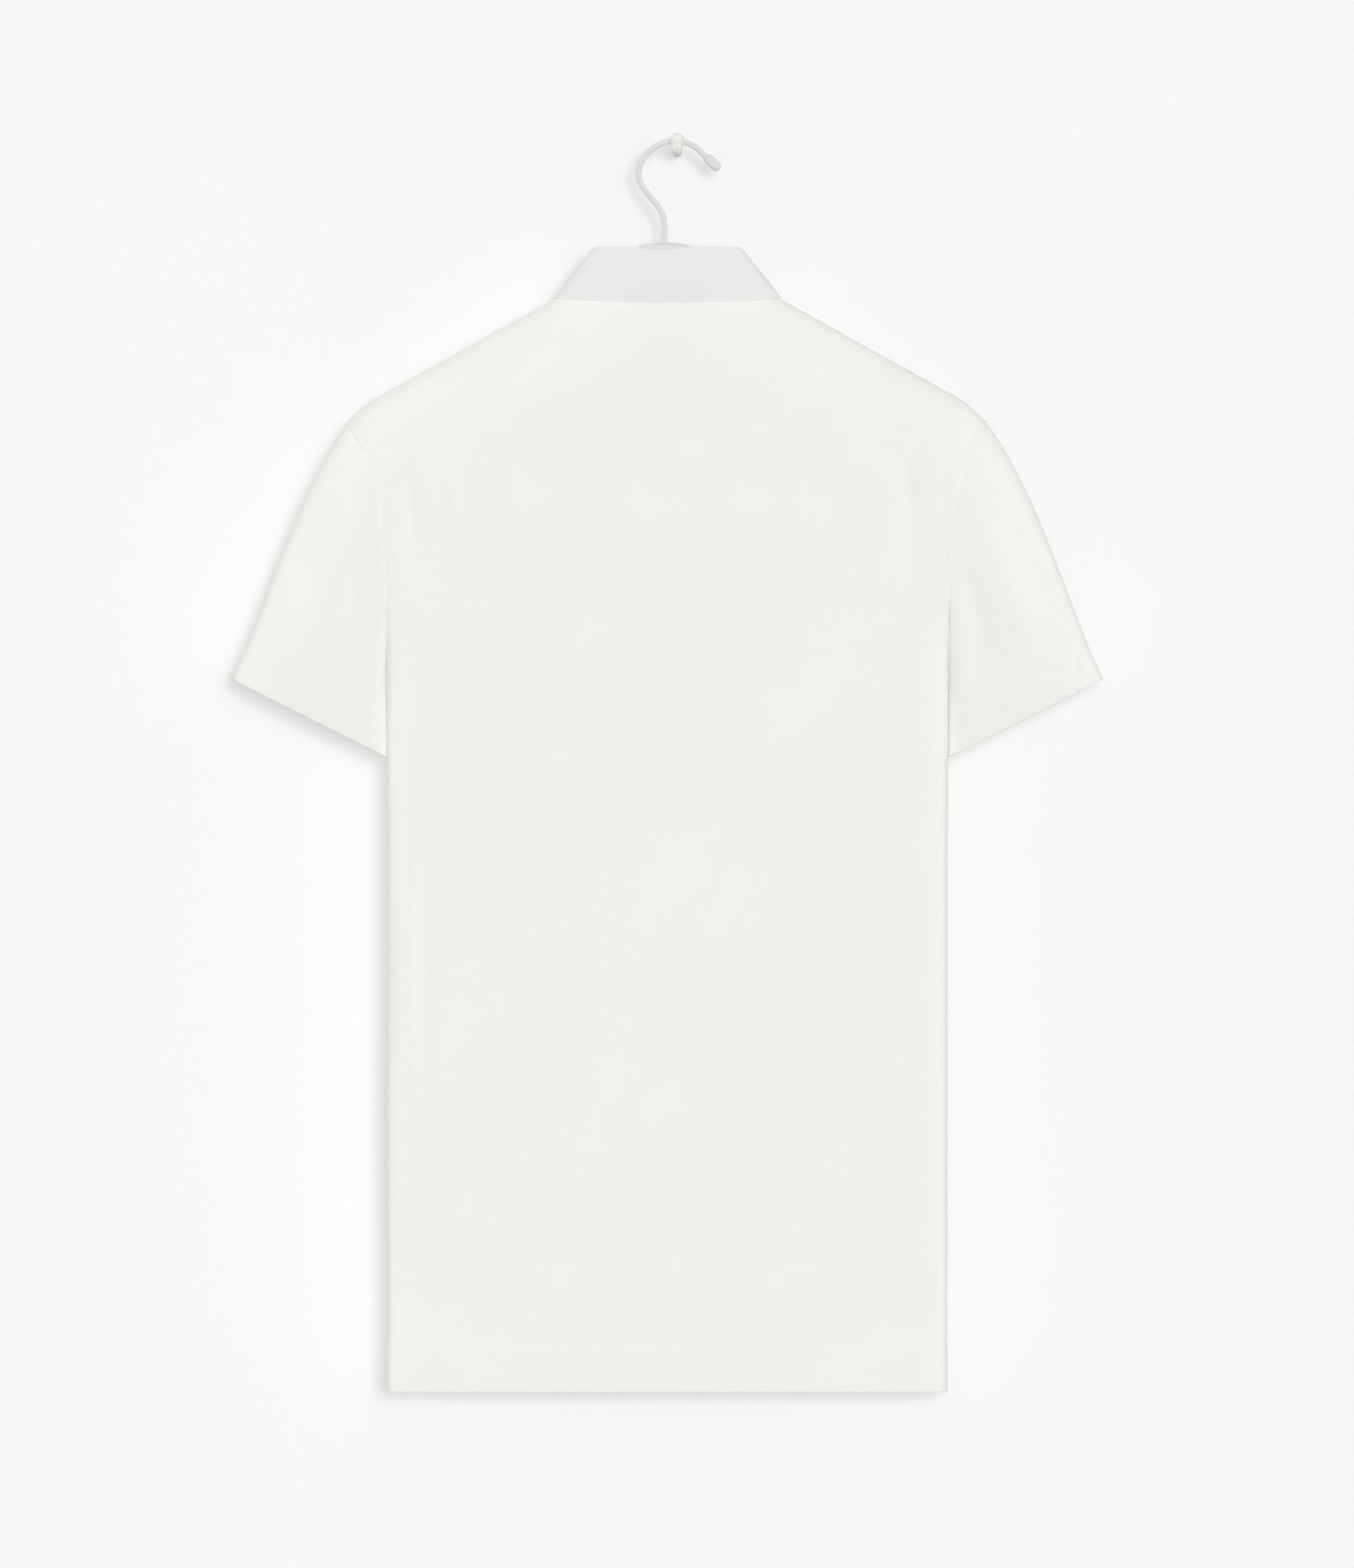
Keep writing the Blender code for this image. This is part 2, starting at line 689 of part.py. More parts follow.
def smooth_route(route, pieces):
    """Points of a smooth curve through the route's own points."""
    padded = (route[0], *route, route[-1])
    made = []
    for a, b, c, d in zip(padded, padded[1:], padded[2:], padded[3:]):
        for i in range(pieces):
            t = i / pieces
            made.append(
                (b * 2 + (c - a) * t + (a * 2 - b * 5 + c * 4 - d) * t ** 2
                 + (b * 3 - a - c * 3 + d) * t ** 3) / 2
            )
    return made + [route[-1]]


def hook_points():
    route = [Vector((point.x, HANGER_Y, point.z)) for point in HOOK_ROUTE]
    return smooth_route(route, HOOK_PIECES)


def hook_radii():
    """The wire's thickness, as a share: the tip is a fat capsule."""
    tip = TIP_RADIUS / WIRE_RADIUS
    wire = [1.0] * ((len(HOOK_ROUTE) - 2) * HOOK_PIECES)
    return wire + [tip * share for share in TIP_SHARES]


PegRing = namedtuple("PegRing", "reach z tilt radius")


def peg_rings():
    """Rings along the peg: its shaft out of the wall, its bend up and the knob on the end."""
    made = [PegRing(0.0, 0.0, 0.0, PEG_BASE_RADIUS)]
    for tilt in steps(0, 90, PEG_BEND_STEPS):
        angle = math.radians(tilt)
        reach = PEG_SHAFT + PEG_BEND_RADIUS * math.sin(angle)
        z = PEG_BEND_RADIUS * (1 - math.cos(angle))
        made.append(PegRing(reach, z, tilt, PEG_NECK_RADIUS))
    for degrees in steps(KNOB_FROM, KNOB_TO, KNOB_STEPS):
        angle = math.radians(degrees)
        z = KNOB_Z + KNOB_RADIUS * math.sin(angle)
        made.append(PegRing(PEG_SHAFT + PEG_BEND_RADIUS, z, 90, KNOB_RADIUS * math.cos(angle)))
    return made


def wall_peg(collection):
    """A round peg that comes straight out of the wall and turns up in front of the hook."""
    turns = [2 * math.pi * i / PEG_SEGMENTS for i in range(PEG_SEGMENTS)]
    data = bpy.data.meshes.new("wall_peg")
    mesh = bmesh.new()
    rings = []
    for ring in peg_rings():
        tilt = math.radians(ring.tilt)
        middle = Vector((0.0, -ring.reach, ring.z))
        right = Vector((ring.radius, 0.0, 0.0))
        up = Vector((0.0, math.sin(tilt), math.cos(tilt))) * ring.radius
        around = [middle + right * math.cos(turn) + up * math.sin(turn) for turn in turns]
        rings.append([mesh.verts.new(point) for point in around])
    for first, second in zip(rings, rings[1:]):
        for i in range(PEG_SEGMENTS):
            j = (i + 1) % PEG_SEGMENTS
            mesh.faces.new((first[i], second[i], second[j], first[j]))
    mesh.faces.new(rings[0])
    mesh.faces.new(list(reversed(rings[-1])))
    bmesh.ops.recalc_face_normals(mesh, faces=mesh.faces)
    mesh.to_mesh(data)
    mesh.free()
    data.shade_smooth()
    return add_object("wall_peg", data, PEG_FINISH, collection)


def main():
    for old in list(bpy.data.objects):
        bpy.data.objects.remove(old, do_unlink=True)
    collection = bpy.data.collections.new(NAME)
    bpy.context.scene.collection.children.link(collection)
    back_panel(collection)
    back_yoke(collection)
    front_panel("front_left", -1, 0, collection)
    front_panel("front_right", 1, 1, collection)
    front_band(collection)
    sleeve("sleeve_left", -1, collection)
    sleeve("sleeve_right", 1, collection)
    collar_stand(collection)
    collar_leaf(collection)
    buttons(collection)
    hanger(collection)
    wall_peg(collection)


main()
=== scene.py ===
"""A short-sleeved linen shirt on its hanger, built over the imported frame.

Metres, +Z up. The wall is the plane Y = 0, the shirt's front faces it and its back faces -Y.
+X is the wearer's right. Cloth pieces are grids of points, rows down the cloth and columns across,
so that rows x columns, in that order, turn their outer face out.
"""

import math
from collections import namedtuple

import bmesh
import bpy
import numpy as np
from mathutils import Matrix, Vector


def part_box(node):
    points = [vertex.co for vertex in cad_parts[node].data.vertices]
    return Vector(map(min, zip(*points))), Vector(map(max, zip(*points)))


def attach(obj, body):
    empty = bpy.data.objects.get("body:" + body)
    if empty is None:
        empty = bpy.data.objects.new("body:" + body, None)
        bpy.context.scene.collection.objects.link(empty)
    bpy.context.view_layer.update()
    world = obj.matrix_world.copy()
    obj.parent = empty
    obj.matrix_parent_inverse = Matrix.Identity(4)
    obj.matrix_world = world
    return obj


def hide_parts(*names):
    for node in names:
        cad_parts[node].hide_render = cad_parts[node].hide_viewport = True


bl_info = {
    "name": "Linen Shirt",
    "version": (1, 0, 0),
    "blender": (4, 5, 0),
    "location": "View3D > Sidebar > Shirt",
    "description": "Builds a hung linen shirt, its hanger and wall peg",
    "category": "Add Mesh",
}

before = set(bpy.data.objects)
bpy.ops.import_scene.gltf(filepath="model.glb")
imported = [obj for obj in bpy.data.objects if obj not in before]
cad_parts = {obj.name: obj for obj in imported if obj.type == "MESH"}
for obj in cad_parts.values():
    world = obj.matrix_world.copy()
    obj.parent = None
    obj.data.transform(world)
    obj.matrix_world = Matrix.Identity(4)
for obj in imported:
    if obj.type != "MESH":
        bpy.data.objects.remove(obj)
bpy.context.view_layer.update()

BACK_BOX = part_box("back_panel")
PEG_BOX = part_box("wall_peg")
CAP_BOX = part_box("hanger_cap")
BAND_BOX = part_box("front_placket")

# The shirt's own lines, the same as in the frame. x is from its middle and z from the peg. A squareness or
# a rounding of 2 is an ellipse, and a higher one is boxier. Angles run round a ring from the back's middle.

SHIRT_X = (BACK_BOX[0][0] + BACK_BOX[1][0]) / 2
HEM_Z = BACK_BOX[0][2]
HANGER_Y = -0.036
# From one layer of cloth to the next over it
LAYER = 0.0015

BACK_REACH = 0.030
FRONT_REACH = 0.0265
BODY_HALF = 0.1996
SQUARENESS = 8.0
SIDE_SEAM_HALF = 0.00005

RIDGE_DROP = 0.090
NECK_X = 0.0812
NECK_Z = -0.1066
SHOULDER_SLOPE = 0.5563
ROUND_FROM_X = 0.205
ROUNDING = 13.4

TIP_X = 0.2285
TIP_Z = -0.1960
UNDERARM_Z = -0.358
ARMHOLE_POWER = 4.2
ARMHOLE_FULLNESS = 0.93
ARMHOLE_ROUNDING = 2.6
YOKE_CORNER_BACK = 39.0
YOKE_CORNER_FRONT = 50.0
YOKE_MIDDLE_Z = -0.2021
YOKE_SEAM_IN = 0.0018
# The yoke's columns from each of its front ends to the end of the seam across the back
SEAM_COLUMN = 71

CUFF_OUTER = (0.3100, -0.3776)
CUFF_INNER = (0.2000, -0.4327)
CUFF_REACH = 0.021
SLEEVE_SQUARENESS = 4.6
INNER_SQUARENESS = 12.0
SLEEVE_KICK_OUT = 0.030
SLEEVE_KICK_UP = 0.024

NECK_RING_X = 0.074
NECK_SIDE_Z = -0.1026
NECK_BACK_Z = -0.1040
NECK_FRONT_Z = -0.1720
NECK_SCOOP = 1.25
NECK_SEAM = 110.0
NECK_CORNER = 60.0
LAP_ANGLE = 12.0
LAP = NECK_RING_X * math.sin(math.radians(LAP_ANGLE))

# The collar's fold, which dips under the hanger's cap, and the leaf that hangs from it
FOLD_X = 0.0528
FOLD_CORNER = 0.62
FOLD_BACK_Z = -0.0700
FOLD_BACK_RISE = 0.4
FOLD_SIDE_Z = -0.0755
FOLD_FRONT_Z = -0.1430
FOLD_BACK_REACH = 0.0190
FOLD_FRONT_REACH = 0.0205
FOLD_DIP = 0.0019
STEM_X = -0.0090
CAP_HALF = 0.0200
LEAF_END = 173.0
LEAF_BACK_Z = -0.1097
LEAF_SIDE_X = 0.0801
COLLAR_POINT = (0.0600, -0.2020)
LEAF_LIFT = 0.0013
LEAF_OFF = 0.0041
LEAF_BULGE = 0.0020
LEAF_BULGE_SIDE = 0.0008
FOLD_RADIUS = 0.0016
COLLAR_STITCH_IN = 0.0050

BAND_HALF = (BAND_BOX[1][0] - BAND_BOX[0][0]) / 2
BAND_STITCH_IN = 0.0045
BUTTONHOLE_HALF = 0.0085
BUTTONHOLE_SLIT = 0.00025
BUTTONHOLE_BAR = 0.0014
BUTTONS = [f"button_{i}" for i in range(1, 7)] + ["button_stand"]

# Pieces made so far, for the stitching that runs over them
CLOTHS = {}


# Sizes and colours a user would change

def a_length(name, default, description):
    return bpy.props.FloatProperty(name=name, description=description, default=default, unit="LENGTH")


def a_colour(name, default, description):
    return bpy.props.StringProperty(name=name, description=description, default=default)


class ShirtSizes(bpy.types.PropertyGroup):
    """The make of the shirt."""

    cloth: a_length("Cloth", 0.0008, "Thickness of one layer of linen")
    hem: a_length("Hem", 0.0330, "Depth of the turned-up hem")
    cuff: a_length("Sleeve hem", 0.0200, "Depth of each sleeve's hem")
    stitch: a_length("Stitch", 0.0030, "Length of one stitch with its gap")
    topstitch: a_length("Topstitching", 0.0056, "How far in from a seam it runs")
    pucker: a_length("Puckering", 0.00045, "Height of the ripples along a seam")


class ShirtColours(bpy.types.PropertyGroup):
    """Colours as sRGB hex values."""

    linen: a_colour("Linen", "F0F1EC", "The cloth")
    collar: a_colour("Collar", "EAE8E8", "The stiffened cloth")
    thread: a_colour("Thread", "E9EAE5", "Sewing thread")
    button: a_colour("Buttons", "EFEDE6", "Cast resin")
    hanger: a_colour("Hanger", "E2E2E1", "Moulded plastic")
    wire: a_colour("Hook", "DDDDDD", "Coated wire")
    peg: a_colour("Peg", "F4F4F1", "Brushed paint")
    wall: a_colour("Wall", "F8F8F8", "Matt wall")


# Small sums

def mix(low, high, share):
    return low + (high - low) * share


def steps(first, last, count):
    """count + 1 even steps from first to last."""
    return np.linspace(first, last, count + 1)


def ease(low, high, value):
    """0 below low, 1 above high, smooth between."""
    share = np.clip((value - low) / (high - low), 0.0, 1.0)
    return share * share * (3 - 2 * share)


def hump(away, width):
    """A soft bell, 1 where away is 0."""
    return np.exp(-((away / width) ** 2))


def unit(vectors):
    length = np.linalg.norm(vectors, axis=-1, keepdims=True)
    return vectors / np.maximum(length, 1e-9)


WAVE_CELLS = 64
# Where a length of 0 falls in a table of waves
WAVE_START = (19.3, 23.7)


def waves(a, b, size, seed):
    """Smooth uneven waves between about -1 and 1 over two lengths, of this size in metres."""
    table = np.random.RandomState(seed).uniform(-1.0, 1.0, (WAVE_CELLS, WAVE_CELLS))
    u, v = np.broadcast_arrays(*(np.asarray(c) / size + start for c, start in zip((a, b), WAVE_START)))
    i, j = np.floor(u).astype(int), np.floor(v).astype(int)
    s, t = ease(0.0, 1.0, u - i), ease(0.0, 1.0, v - j)
    i0, i1, j0, j1 = (cell % WAVE_CELLS for cell in (i, i + 1, j, j + 1))
    upper = mix(table[i0, j0], table[i1, j0], s)
    lower = mix(table[i0, j1], table[i1, j1], s)
    return mix(upper, lower, t)


def waviness(a, b, table, seed):
    """Waves of each (height, size) in the table, added up."""
    return sum(height * waves(a, b, size, seed + i) for i, (height, size) in enumerate(table))


# The garment's outer surface: a flat tube with a rounded ridge along the shoulders

def ridge_z(x):
    """The height of the shoulder ridge at x from the shirt's middle."""
    out = np.abs(x)
    rounded = np.maximum(0.0, out - ROUND_FROM_X)
    return NECK_Z - SHOULDER_SLOPE * (out - NECK_X) - ROUNDING * rounded ** 2


def armhole_share(degrees):
    """How far down the armhole an angle lies: 0 at the shoulder tip, 1 at the underarm."""
    return (1 - np.cos(np.radians(degrees))) / 2


def armhole_z(share):
    return mix(TIP_Z, UNDERARM_Z, share)


def armhole_x(share):
    return BODY_HALF + (TIP_X - BODY_HALF) * (1 - share) ** ARMHOLE_POWER


def down_armhole(z):
    return np.clip((z - TIP_Z) / (UNDERARM_Z - TIP_Z), 0.0, 1.0)


def edge_x(z):
    """Where a body panel ends at z: at the armhole, and below it at the side seam."""
    return armhole_x(down_armhole(z))


def points_of(x, y, z):
    return np.stack(np.broadcast_arrays(x, y, z), -1)


def half_width(z):
    """Half the width of the whole tube at z: the body's below the underarm, wider above it."""
    share = down_armhole(z)
    below = np.maximum(0.0, 2 * share - 1)
    fullness = ARMHOLE_FULLNESS * (1 - below ** ARMHOLE_ROUNDING) ** (1 / ARMHOLE_ROUNDING)
    return armhole_x(share) / (1 - fullness ** SQUARENESS) ** (1 / SQUARENESS)


def depth(x, z, side):
    """How far the outer surface stands off the hanger's plane."""
    reach = np.where(np.asarray(side) < 0, BACK_REACH, FRONT_REACH)
    across = np.minimum(1.0, np.abs(x) / half_width(z))
    round_side = (1 - across ** SQUARENESS) ** (1 / SQUARENESS)
    below = np.clip((ridge_z(x) - z) / RIDGE_DROP, 0.0, 1.0)
    return reach * round_side * np.sqrt(1 - (1 - below) ** 2)


def on_surface(x, z, side, lift=0.0):
    """Points of the outer surface, moved out by lift."""
    off = np.maximum(depth(x, z, side), SIDE_SEAM_HALF) + lift
    return points_of(SHIRT_X + x, HANGER_Y + side * off, z)


def over_ridge(x, z, side):
    """Surface points as x and the signed root of their drop below the ridge."""
    return x, side * np.sqrt(np.maximum(0.0, ridge_z(x) - z))


def from_ridge(x, root, lift=0.0):
    """The surface points of (x, root) pairs."""
    return on_surface(x, ridge_z(x) - root ** 2, np.where(root > 0, 1.0, -1.0), lift)


def neck_point(degrees):
    """x, z and side on the neckline: 0 is the back's middle, 90 the wearer's right, 180 the front's."""
    angle = np.radians(degrees)
    forward = -np.cos(angle)
    back = mix(NECK_SIDE_Z, NECK_BACK_Z, np.maximum(0.0, -forward))
    front = mix(NECK_SIDE_Z, NECK_FRONT_Z, np.maximum(0.0, forward) ** NECK_SCOOP)
    side = np.where(forward < 0, -1.0, 1.0)
    return NECK_RING_X * np.sin(angle), np.where(forward < 0, back, front), side


def yoke_seam_z(x):
    """The yoke seam on the back, which drops a little to the armholes."""
    corner = armhole_share(YOKE_CORNER_BACK)
    return mix(YOKE_MIDDLE_Z, armhole_z(corner), (x / armhole_x(corner)) ** 2)


def new_object(name, data, material=None):
    """An object of this data, in the scene."""
    if material:
        data.materials.append(material)
    made = bpy.data.objects.new(name, data)
    bpy.context.scene.collection.objects.link(made)
    return made


def data_of(mesh, name):
    """What a bmesh holds, as mesh data, freeing the bmesh."""
    data = bpy.data.meshes.new(name)
    mesh.to_mesh(data)
    mesh.free()
    return data


def carried(piece, slot, *nodes):
    """Rides the piece on the body and hides the nodes it stands for. The slot is not used."""
    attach(piece, "root")
    if nodes:
        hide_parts(*nodes)
    return piece


def middle_and_half(node):
    """The middle and half the size of the node's box."""
    low, high = np.array(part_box(node))
    return (low + high) / 2, (high - low) / 2


# Cloth as grids

# Steps in thickness from one layer of cloth to two
LAYER_LEVELS = 8


class Cloth:
    """One cut piece: points[row, column], the way out at each, and metres down and across it."""

    def __init__(self, points, closed=False):
        self.closed = closed
        self.points = points
        self.measure()

    def measure(self):
        rows = np.gradient(self.points, axis=0)
        if self.closed:
            columns = (np.roll(self.points, -1, 1) - np.roll(self.points, 1, 1)) / 2
        else:
            columns = np.gradient(self.points, axis=1)
        self.out = unit(np.cross(rows, columns))
        down = np.linalg.norm(np.diff(self.points, axis=0), axis=2)
        across = np.linalg.norm(np.diff(self.points, axis=1), axis=2)
        self.down = np.vstack([np.zeros((1, down.shape[1])), np.cumsum(down, 0)])
        self.across = np.hstack([np.zeros((across.shape[0], 1)), np.cumsum(across, 1)])

    def raise_by(self, height):
        """Moves the cloth out along its own normals."""
        self.points = self.points + self.out * np.asarray(height)[..., None]
        self.measure()

    def at(self, row, column):
        """Points and ways out at fractional rows and columns."""
        last_row, last_column = self.points.shape[0] - 1, self.points.shape[1] - 1
        row = np.clip(row, 0, last_row)
        column = np.clip(column, 0, last_column)
        i = np.minimum(row.astype(int), last_row - 1)
        j = np.minimum(column.astype(int), last_column - 1)
        s, t = (row - i)[:, None], (column - j)[:, None]
        found = []
        for grid in (self.points, self.out):
            upper = mix(grid[i, j], grid[i, j + 1], t)
            lower = mix(grid[i + 1, j], grid[i + 1, j + 1], t)
            found.append(mix(upper, lower, s))
        return found[0], unit(found[1])


def grid_object(name, cloth, material, thickness, doubled=None):
    """The grid as a mesh object, made solid inwards. doubled is 0 to 1 where layers lie on each other."""
    rows, columns = cloth.points.shape[:2]
    index = np.arange(rows * columns).reshape(rows, columns)
    if cloth.closed:
        index = np.hstack([index, index[:, :1]])
    quads = np.stack([index[:-1, :-1], index[1:, :-1], index[1:, 1:], index[:-1, 1:]], -1).reshape(-1, 4)
    data = bpy.data.meshes.new(name)
    data.vertices.add(rows * columns)
    data.vertices.foreach_set("co", cloth.points.reshape(-1))
    data.loops.add(quads.size)
    data.loops.foreach_set("vertex_index", quads.reshape(-1).astype(np.int32))
    data.polygons.add(len(quads))
    data.polygons.foreach_set("loop_start", np.arange(0, quads.size, 4, dtype=np.int32))
    data.update(calc_edges=True)
    data.shade_smooth()
    threads = np.stack([cloth.across - cloth.across.mean(), cloth.down], -1).reshape(-1, 2)
    layer = data.uv_layers.new(name="Threads")
    layer.uv.foreach_set("vector", threads[quads.reshape(-1)].astype(np.float32).reshape(-1))
    piece = new_object(name, data, material)
    wall = piece.modifiers.new("Cloth", "SOLIDIFY")
    wall.thickness = thickness
    wall.offset = -1.0
    if doubled is not None:
        group = piece.vertex_groups.new(name="Layers")
        weights = np.round(np.broadcast_to(doubled, (rows, columns)).reshape(-1) * LAYER_LEVELS)
        for level in range(1, LAYER_LEVELS + 1):
            group.add(np.nonzero(weights == level)[0].tolist(), level / LAYER_LEVELS, "REPLACE")
        wall.vertex_group = group.name
        # Where there is only one layer, half the thickness of two
        wall.thickness_vertex_group = 0.5
    return piece


Crease = namedtuple("Crease", "x_top z_top x_low z_low bow width height")


def creases(x, z, table):
    """The height of soft ridges and troughs at points of a flat view of the cloth."""
    height = np.zeros(np.broadcast(x, z).shape)
    for crease in table:
        run_x, run_z = crease.x_low - crease.x_top, crease.z_low - crease.z_top
        length = math.hypot(run_x, run_z)
        along = ((x - crease.x_top) * run_x + (z - crease.z_top) * run_z) / length ** 2
        off = ((x - crease.x_top) * run_z - (z - crease.z_top) * run_x) / length
        inside = np.clip(along, 0.0, 1.0)
        off = off - crease.bow * 4 * inside * (1 - inside)
        spread = crease.width * (0.75 + 0.5 * inside)
        swell = np.sin(math.pi * inside) ** 1.4
        height += crease.height * hump(off, spread) * swell
    return height


# The ripples a seam draws up: how long they are, how high beside the shirt's puckering, and how far they
# reach into the doubled cloth near its edge and the single cloth beyond
Ripples = namedtuple("Ripples", "length share near far")
RIPPLES = {
    "armhole": Ripples(0.0085, 1.0, 0.004, 0.012),
    "yoke_armhole": Ripples(0.0085, 1.2, 0.004, 0.014),
    "yoke": Ripples(0.0120, 0.85, 0.010, 0.014),
    "shoulder": Ripples(0.0100, 0.6, 0.010, 0.016),
    "hem": Ripples(0.0105, 1.0, 0.009, 0.017),
    "cuff": Ripples(0.0100, 1.15, 0.007, 0.013),
    "band": Ripples(0.0095, 0.45, 0.004, 0.004),
    "collar": Ripples(0.0120, 0.4, 0.003, 0.005),
}
STITCH_DIP = 0.35
STITCH_DIP_HALF = 0.0011
STITCH_RIPPLE_FROM = 0.0022


def stitched_line(seam, away, along, sizes, seed):
    """The dip of a stitched line and the ripples it draws up on its two sides.

    away is the distance from the line, positive on the single cloth; along runs down the seam.
    """
    length, share, near, far = RIPPLES[seam]
    pucker = share * sizes.pucker
    dip = -STITCH_DIP * pucker * hump(away, STITCH_DIP_HALF)
    fade = np.where(away > 0, np.exp(-np.abs(away) / far), np.exp(-np.abs(away) / near))
    rise = np.clip(np.abs(away) / STITCH_RIPPLE_FROM, 0.0, 1.0)
    ripple = waves(along, away * 0.25, length, seed)
    ripple = ripple + 0.5 * waves(along, away * 0.25, length * 0.45, seed + 1)
    strength = 0.55 + 0.45 * waves(along, 0 * along, length * 9, seed + 2)
    return dip + pucker * ripple * fade * rise * strength


def crease_table(*rows):
    """Creases from rows of x_top, z_top, x_low, z_low, bow, width and height in millimetres."""
    return [Crease(*(value / 1000 for value in row)) for row in rows]


# Soft creases, seen flat. Each has its own length, width and height, and a height below 0 is a trough.

BACK_CREASES = crease_table(
    (154, -325, 52, -495, -10, 28, 3),
    (70, -462, -30, -655, 12, 32, 2.8),
    (-10, -605, -66, -795, -6, 28, 2.4),
    (128, -360, 20, -560, -12, 26, -1.8),
    (-184, -400, -186, -790, 2, 9, 1.6),
    (-168, -440, -172, -700, -3, 10, -0.9),
    (-179, -205, -172, -330, 4, 11, -2.2),
    (-158, -208, -150, -285, 3, 10, 1.2),
    (-92, -206, -98, -262, 3, 13, -1),
    (-12, -200, -6, -268, 3, 15, -1.3),
    (20, -202, 26, -246, 2, 10, 0.8),
    (52, -202, 58, -262, -3, 12, -1.2),
    (108, -204, 110, -270, 4, 14, -1.3),
    (140, -206, 148, -252, 2, 10, 0.9),
    (168, -207, 178, -318, -4, 12, -2),
    (188, -222, 186, -300, 2, 7, 1),
    (-194, -745, -98, -868, 10, 30, -2.2),
    (-150, -730, -60, -850, 8, 24, 1.4),
    (196, -795, 70, -872, -8, 26, -2),
    (150, -770, 40, -858, -6, 22, 1.2),
    (-110, -330, -70, -560, 14, 36, -1.4),
    (-60, -300, -40, -520, -8, 30, 1.2),
    (150, -520, 130, -760, 10, 30, -1.2),
    (-120, -560, -130, -760, 10, 26, 1),
)
YOKE_CREASES = crease_table(
    (-60, -128, -150, -190, 4, 16, -1.2),
    (66, -126, 160, -188, -5, 16, -1.2),
    (-120, -150, -188, -196, 3, 12, 0.8),
    (126, -152, 196, -200, 3, 12, 0.9),
    (-30, -132, -40, -190, 3, 18, 0.7),
    (36, -134, 60, -192, -4, 17, 0.8),
    (0, -150, 8, -196, 2, 14, -0.6),
)
FRONT_CREASES = crease_table(
    (-110, -240, -80, -560, 16, 30, 3),
    (-70, -420, -110, -800, -12, 34, -2.4),
    (-160, -300, -130, -480, 8, 20, -1.8),
    (-185, -410, -176, -760, -4, 13, 1.8),
    (-40, -600, -150, -862, 14, 28, 1.8),
    (110, -250, 86, -600, -14, 30, 2.8),
    (62, -380, 128, -700, 14, 32, -2),
    (168, -300, 120, -430, -6, 18, -1.7),
    (186, -420, 174, -700, 4, 14, 1.4),
    (60, -640, 168, -866, -12, 26, 1.7),
    (140, -560, 60, -830, -10, 28, -1.5),
    (-30, -230, -50, -400, 6, 18, -1),
    (34, -240, 44, -380, -5, 16, -0.9),
)
SLEEVE_CREASES = crease_table(
    (218, -236, 262, -372, 4, 14, 1.6),
    (206, -270, 232, -396, -4, 12, -1.3),
    (240, -240, 292, -360, 3, 12, -1),
    (204, -330, 216, -420, 3, 9, 0.9),
    (296, -352, 286, -388, 1, 4, -0.9),
    (262, -340, 246, -405, 3, 12, 0.9),
)
CREASE_DEPTH = 2.2
BODY_WAVES = ((0.0007, 0.150), (0.00032, 0.052), (0.00009, 0.017), (0.00004, 0.0085))
SLEEVE_WAVES = ((0.0006, 0.080), (0.0003, 0.034), (0.00008, 0.014))
CREASE_SEED = {"back": 11, "front": 23, "sleeve_left": 37, "sleeve_right": 41}


def hang(x, z, table, seed):
    """The soft unevenness of hung linen: its creases, slow waves and a light crumple."""
    return CREASE_DEPTH * creases(x, z, table) + waviness(x, z, BODY_WAVES, seed)


def spaced(start, *runs):
    """Values from start through each (end, step) run, a step apart."""
    values = [start]
    for end, step in runs:
        count = max(1, round(abs(end - values[-1]) / step))
        values.extend(np.linspace(values[-1], end, count + 1)[1:])
    return np.array(values)


def round_shares(spacing, from_share=0.0):
    """Shares of the half width, evenly spaced along the cloth, which turns round the side at 1."""
    t = np.linspace(0.0, 1.0, 4001)
    angle = math.pi / 2 * t ** 3 / (t ** 3 + (1 - t) ** 3)
    share = np.sin(angle) ** (2 / SQUARENESS)
    reach = np.cos(angle) ** (2 / SQUARENESS) * BACK_REACH
    length = np.concatenate([[0], np.cumsum(np.hypot(np.diff(share) * BODY_HALF, np.diff(reach)))])
    first = np.interp(from_share, share, length)
    count = round((length[-1] - first) / spacing)
    at = np.interp(np.linspace(first, length[-1], count + 1), length, angle)
    return np.sin(at) ** (2 / SQUARENESS)


SEAM_RAISED = 0.0003
HEM_RAISED = 0.00035
HEM_WAVINESS = 0.0011


def felled(away, z, sizes, seed):
    """The armhole's flat-felled seam: a raised band on the body, its topstitching and ripples."""
    held = ease(UNDERARM_Z - 0.012, UNDERARM_Z + 0.006, z)
    band = SEAM_RAISED * (1 - ease(sizes.topstitch - 0.0008, sizes.topstitch + 0.0010, away))
    drawn = stitched_line("armhole", away - sizes.topstitch, z * 1.05, sizes, seed)
    return (band + drawn) * held


def hemmed(z, along, sizes, seed):
    """The bottom hem: its stitched line, ripples and the thicker turned-up cloth below it."""
    away = z - (HEM_Z + sizes.hem)
    thicker = HEM_RAISED * (1 - ease(-0.0022, 0.0002, away))
    free = HEM_WAVINESS * waves(along, 0 * along, 0.075, seed + 7) * (1 - ease(-0.033, 0.030, away))
    return thicker + free + stitched_line("hem", away, along, sizes, seed)


def yoke_line(x, away, sizes):
    """The yoke seam's ripples, shared by the yoke and the back below it."""
    return stitched_line("yoke", away, x, sizes, 61)


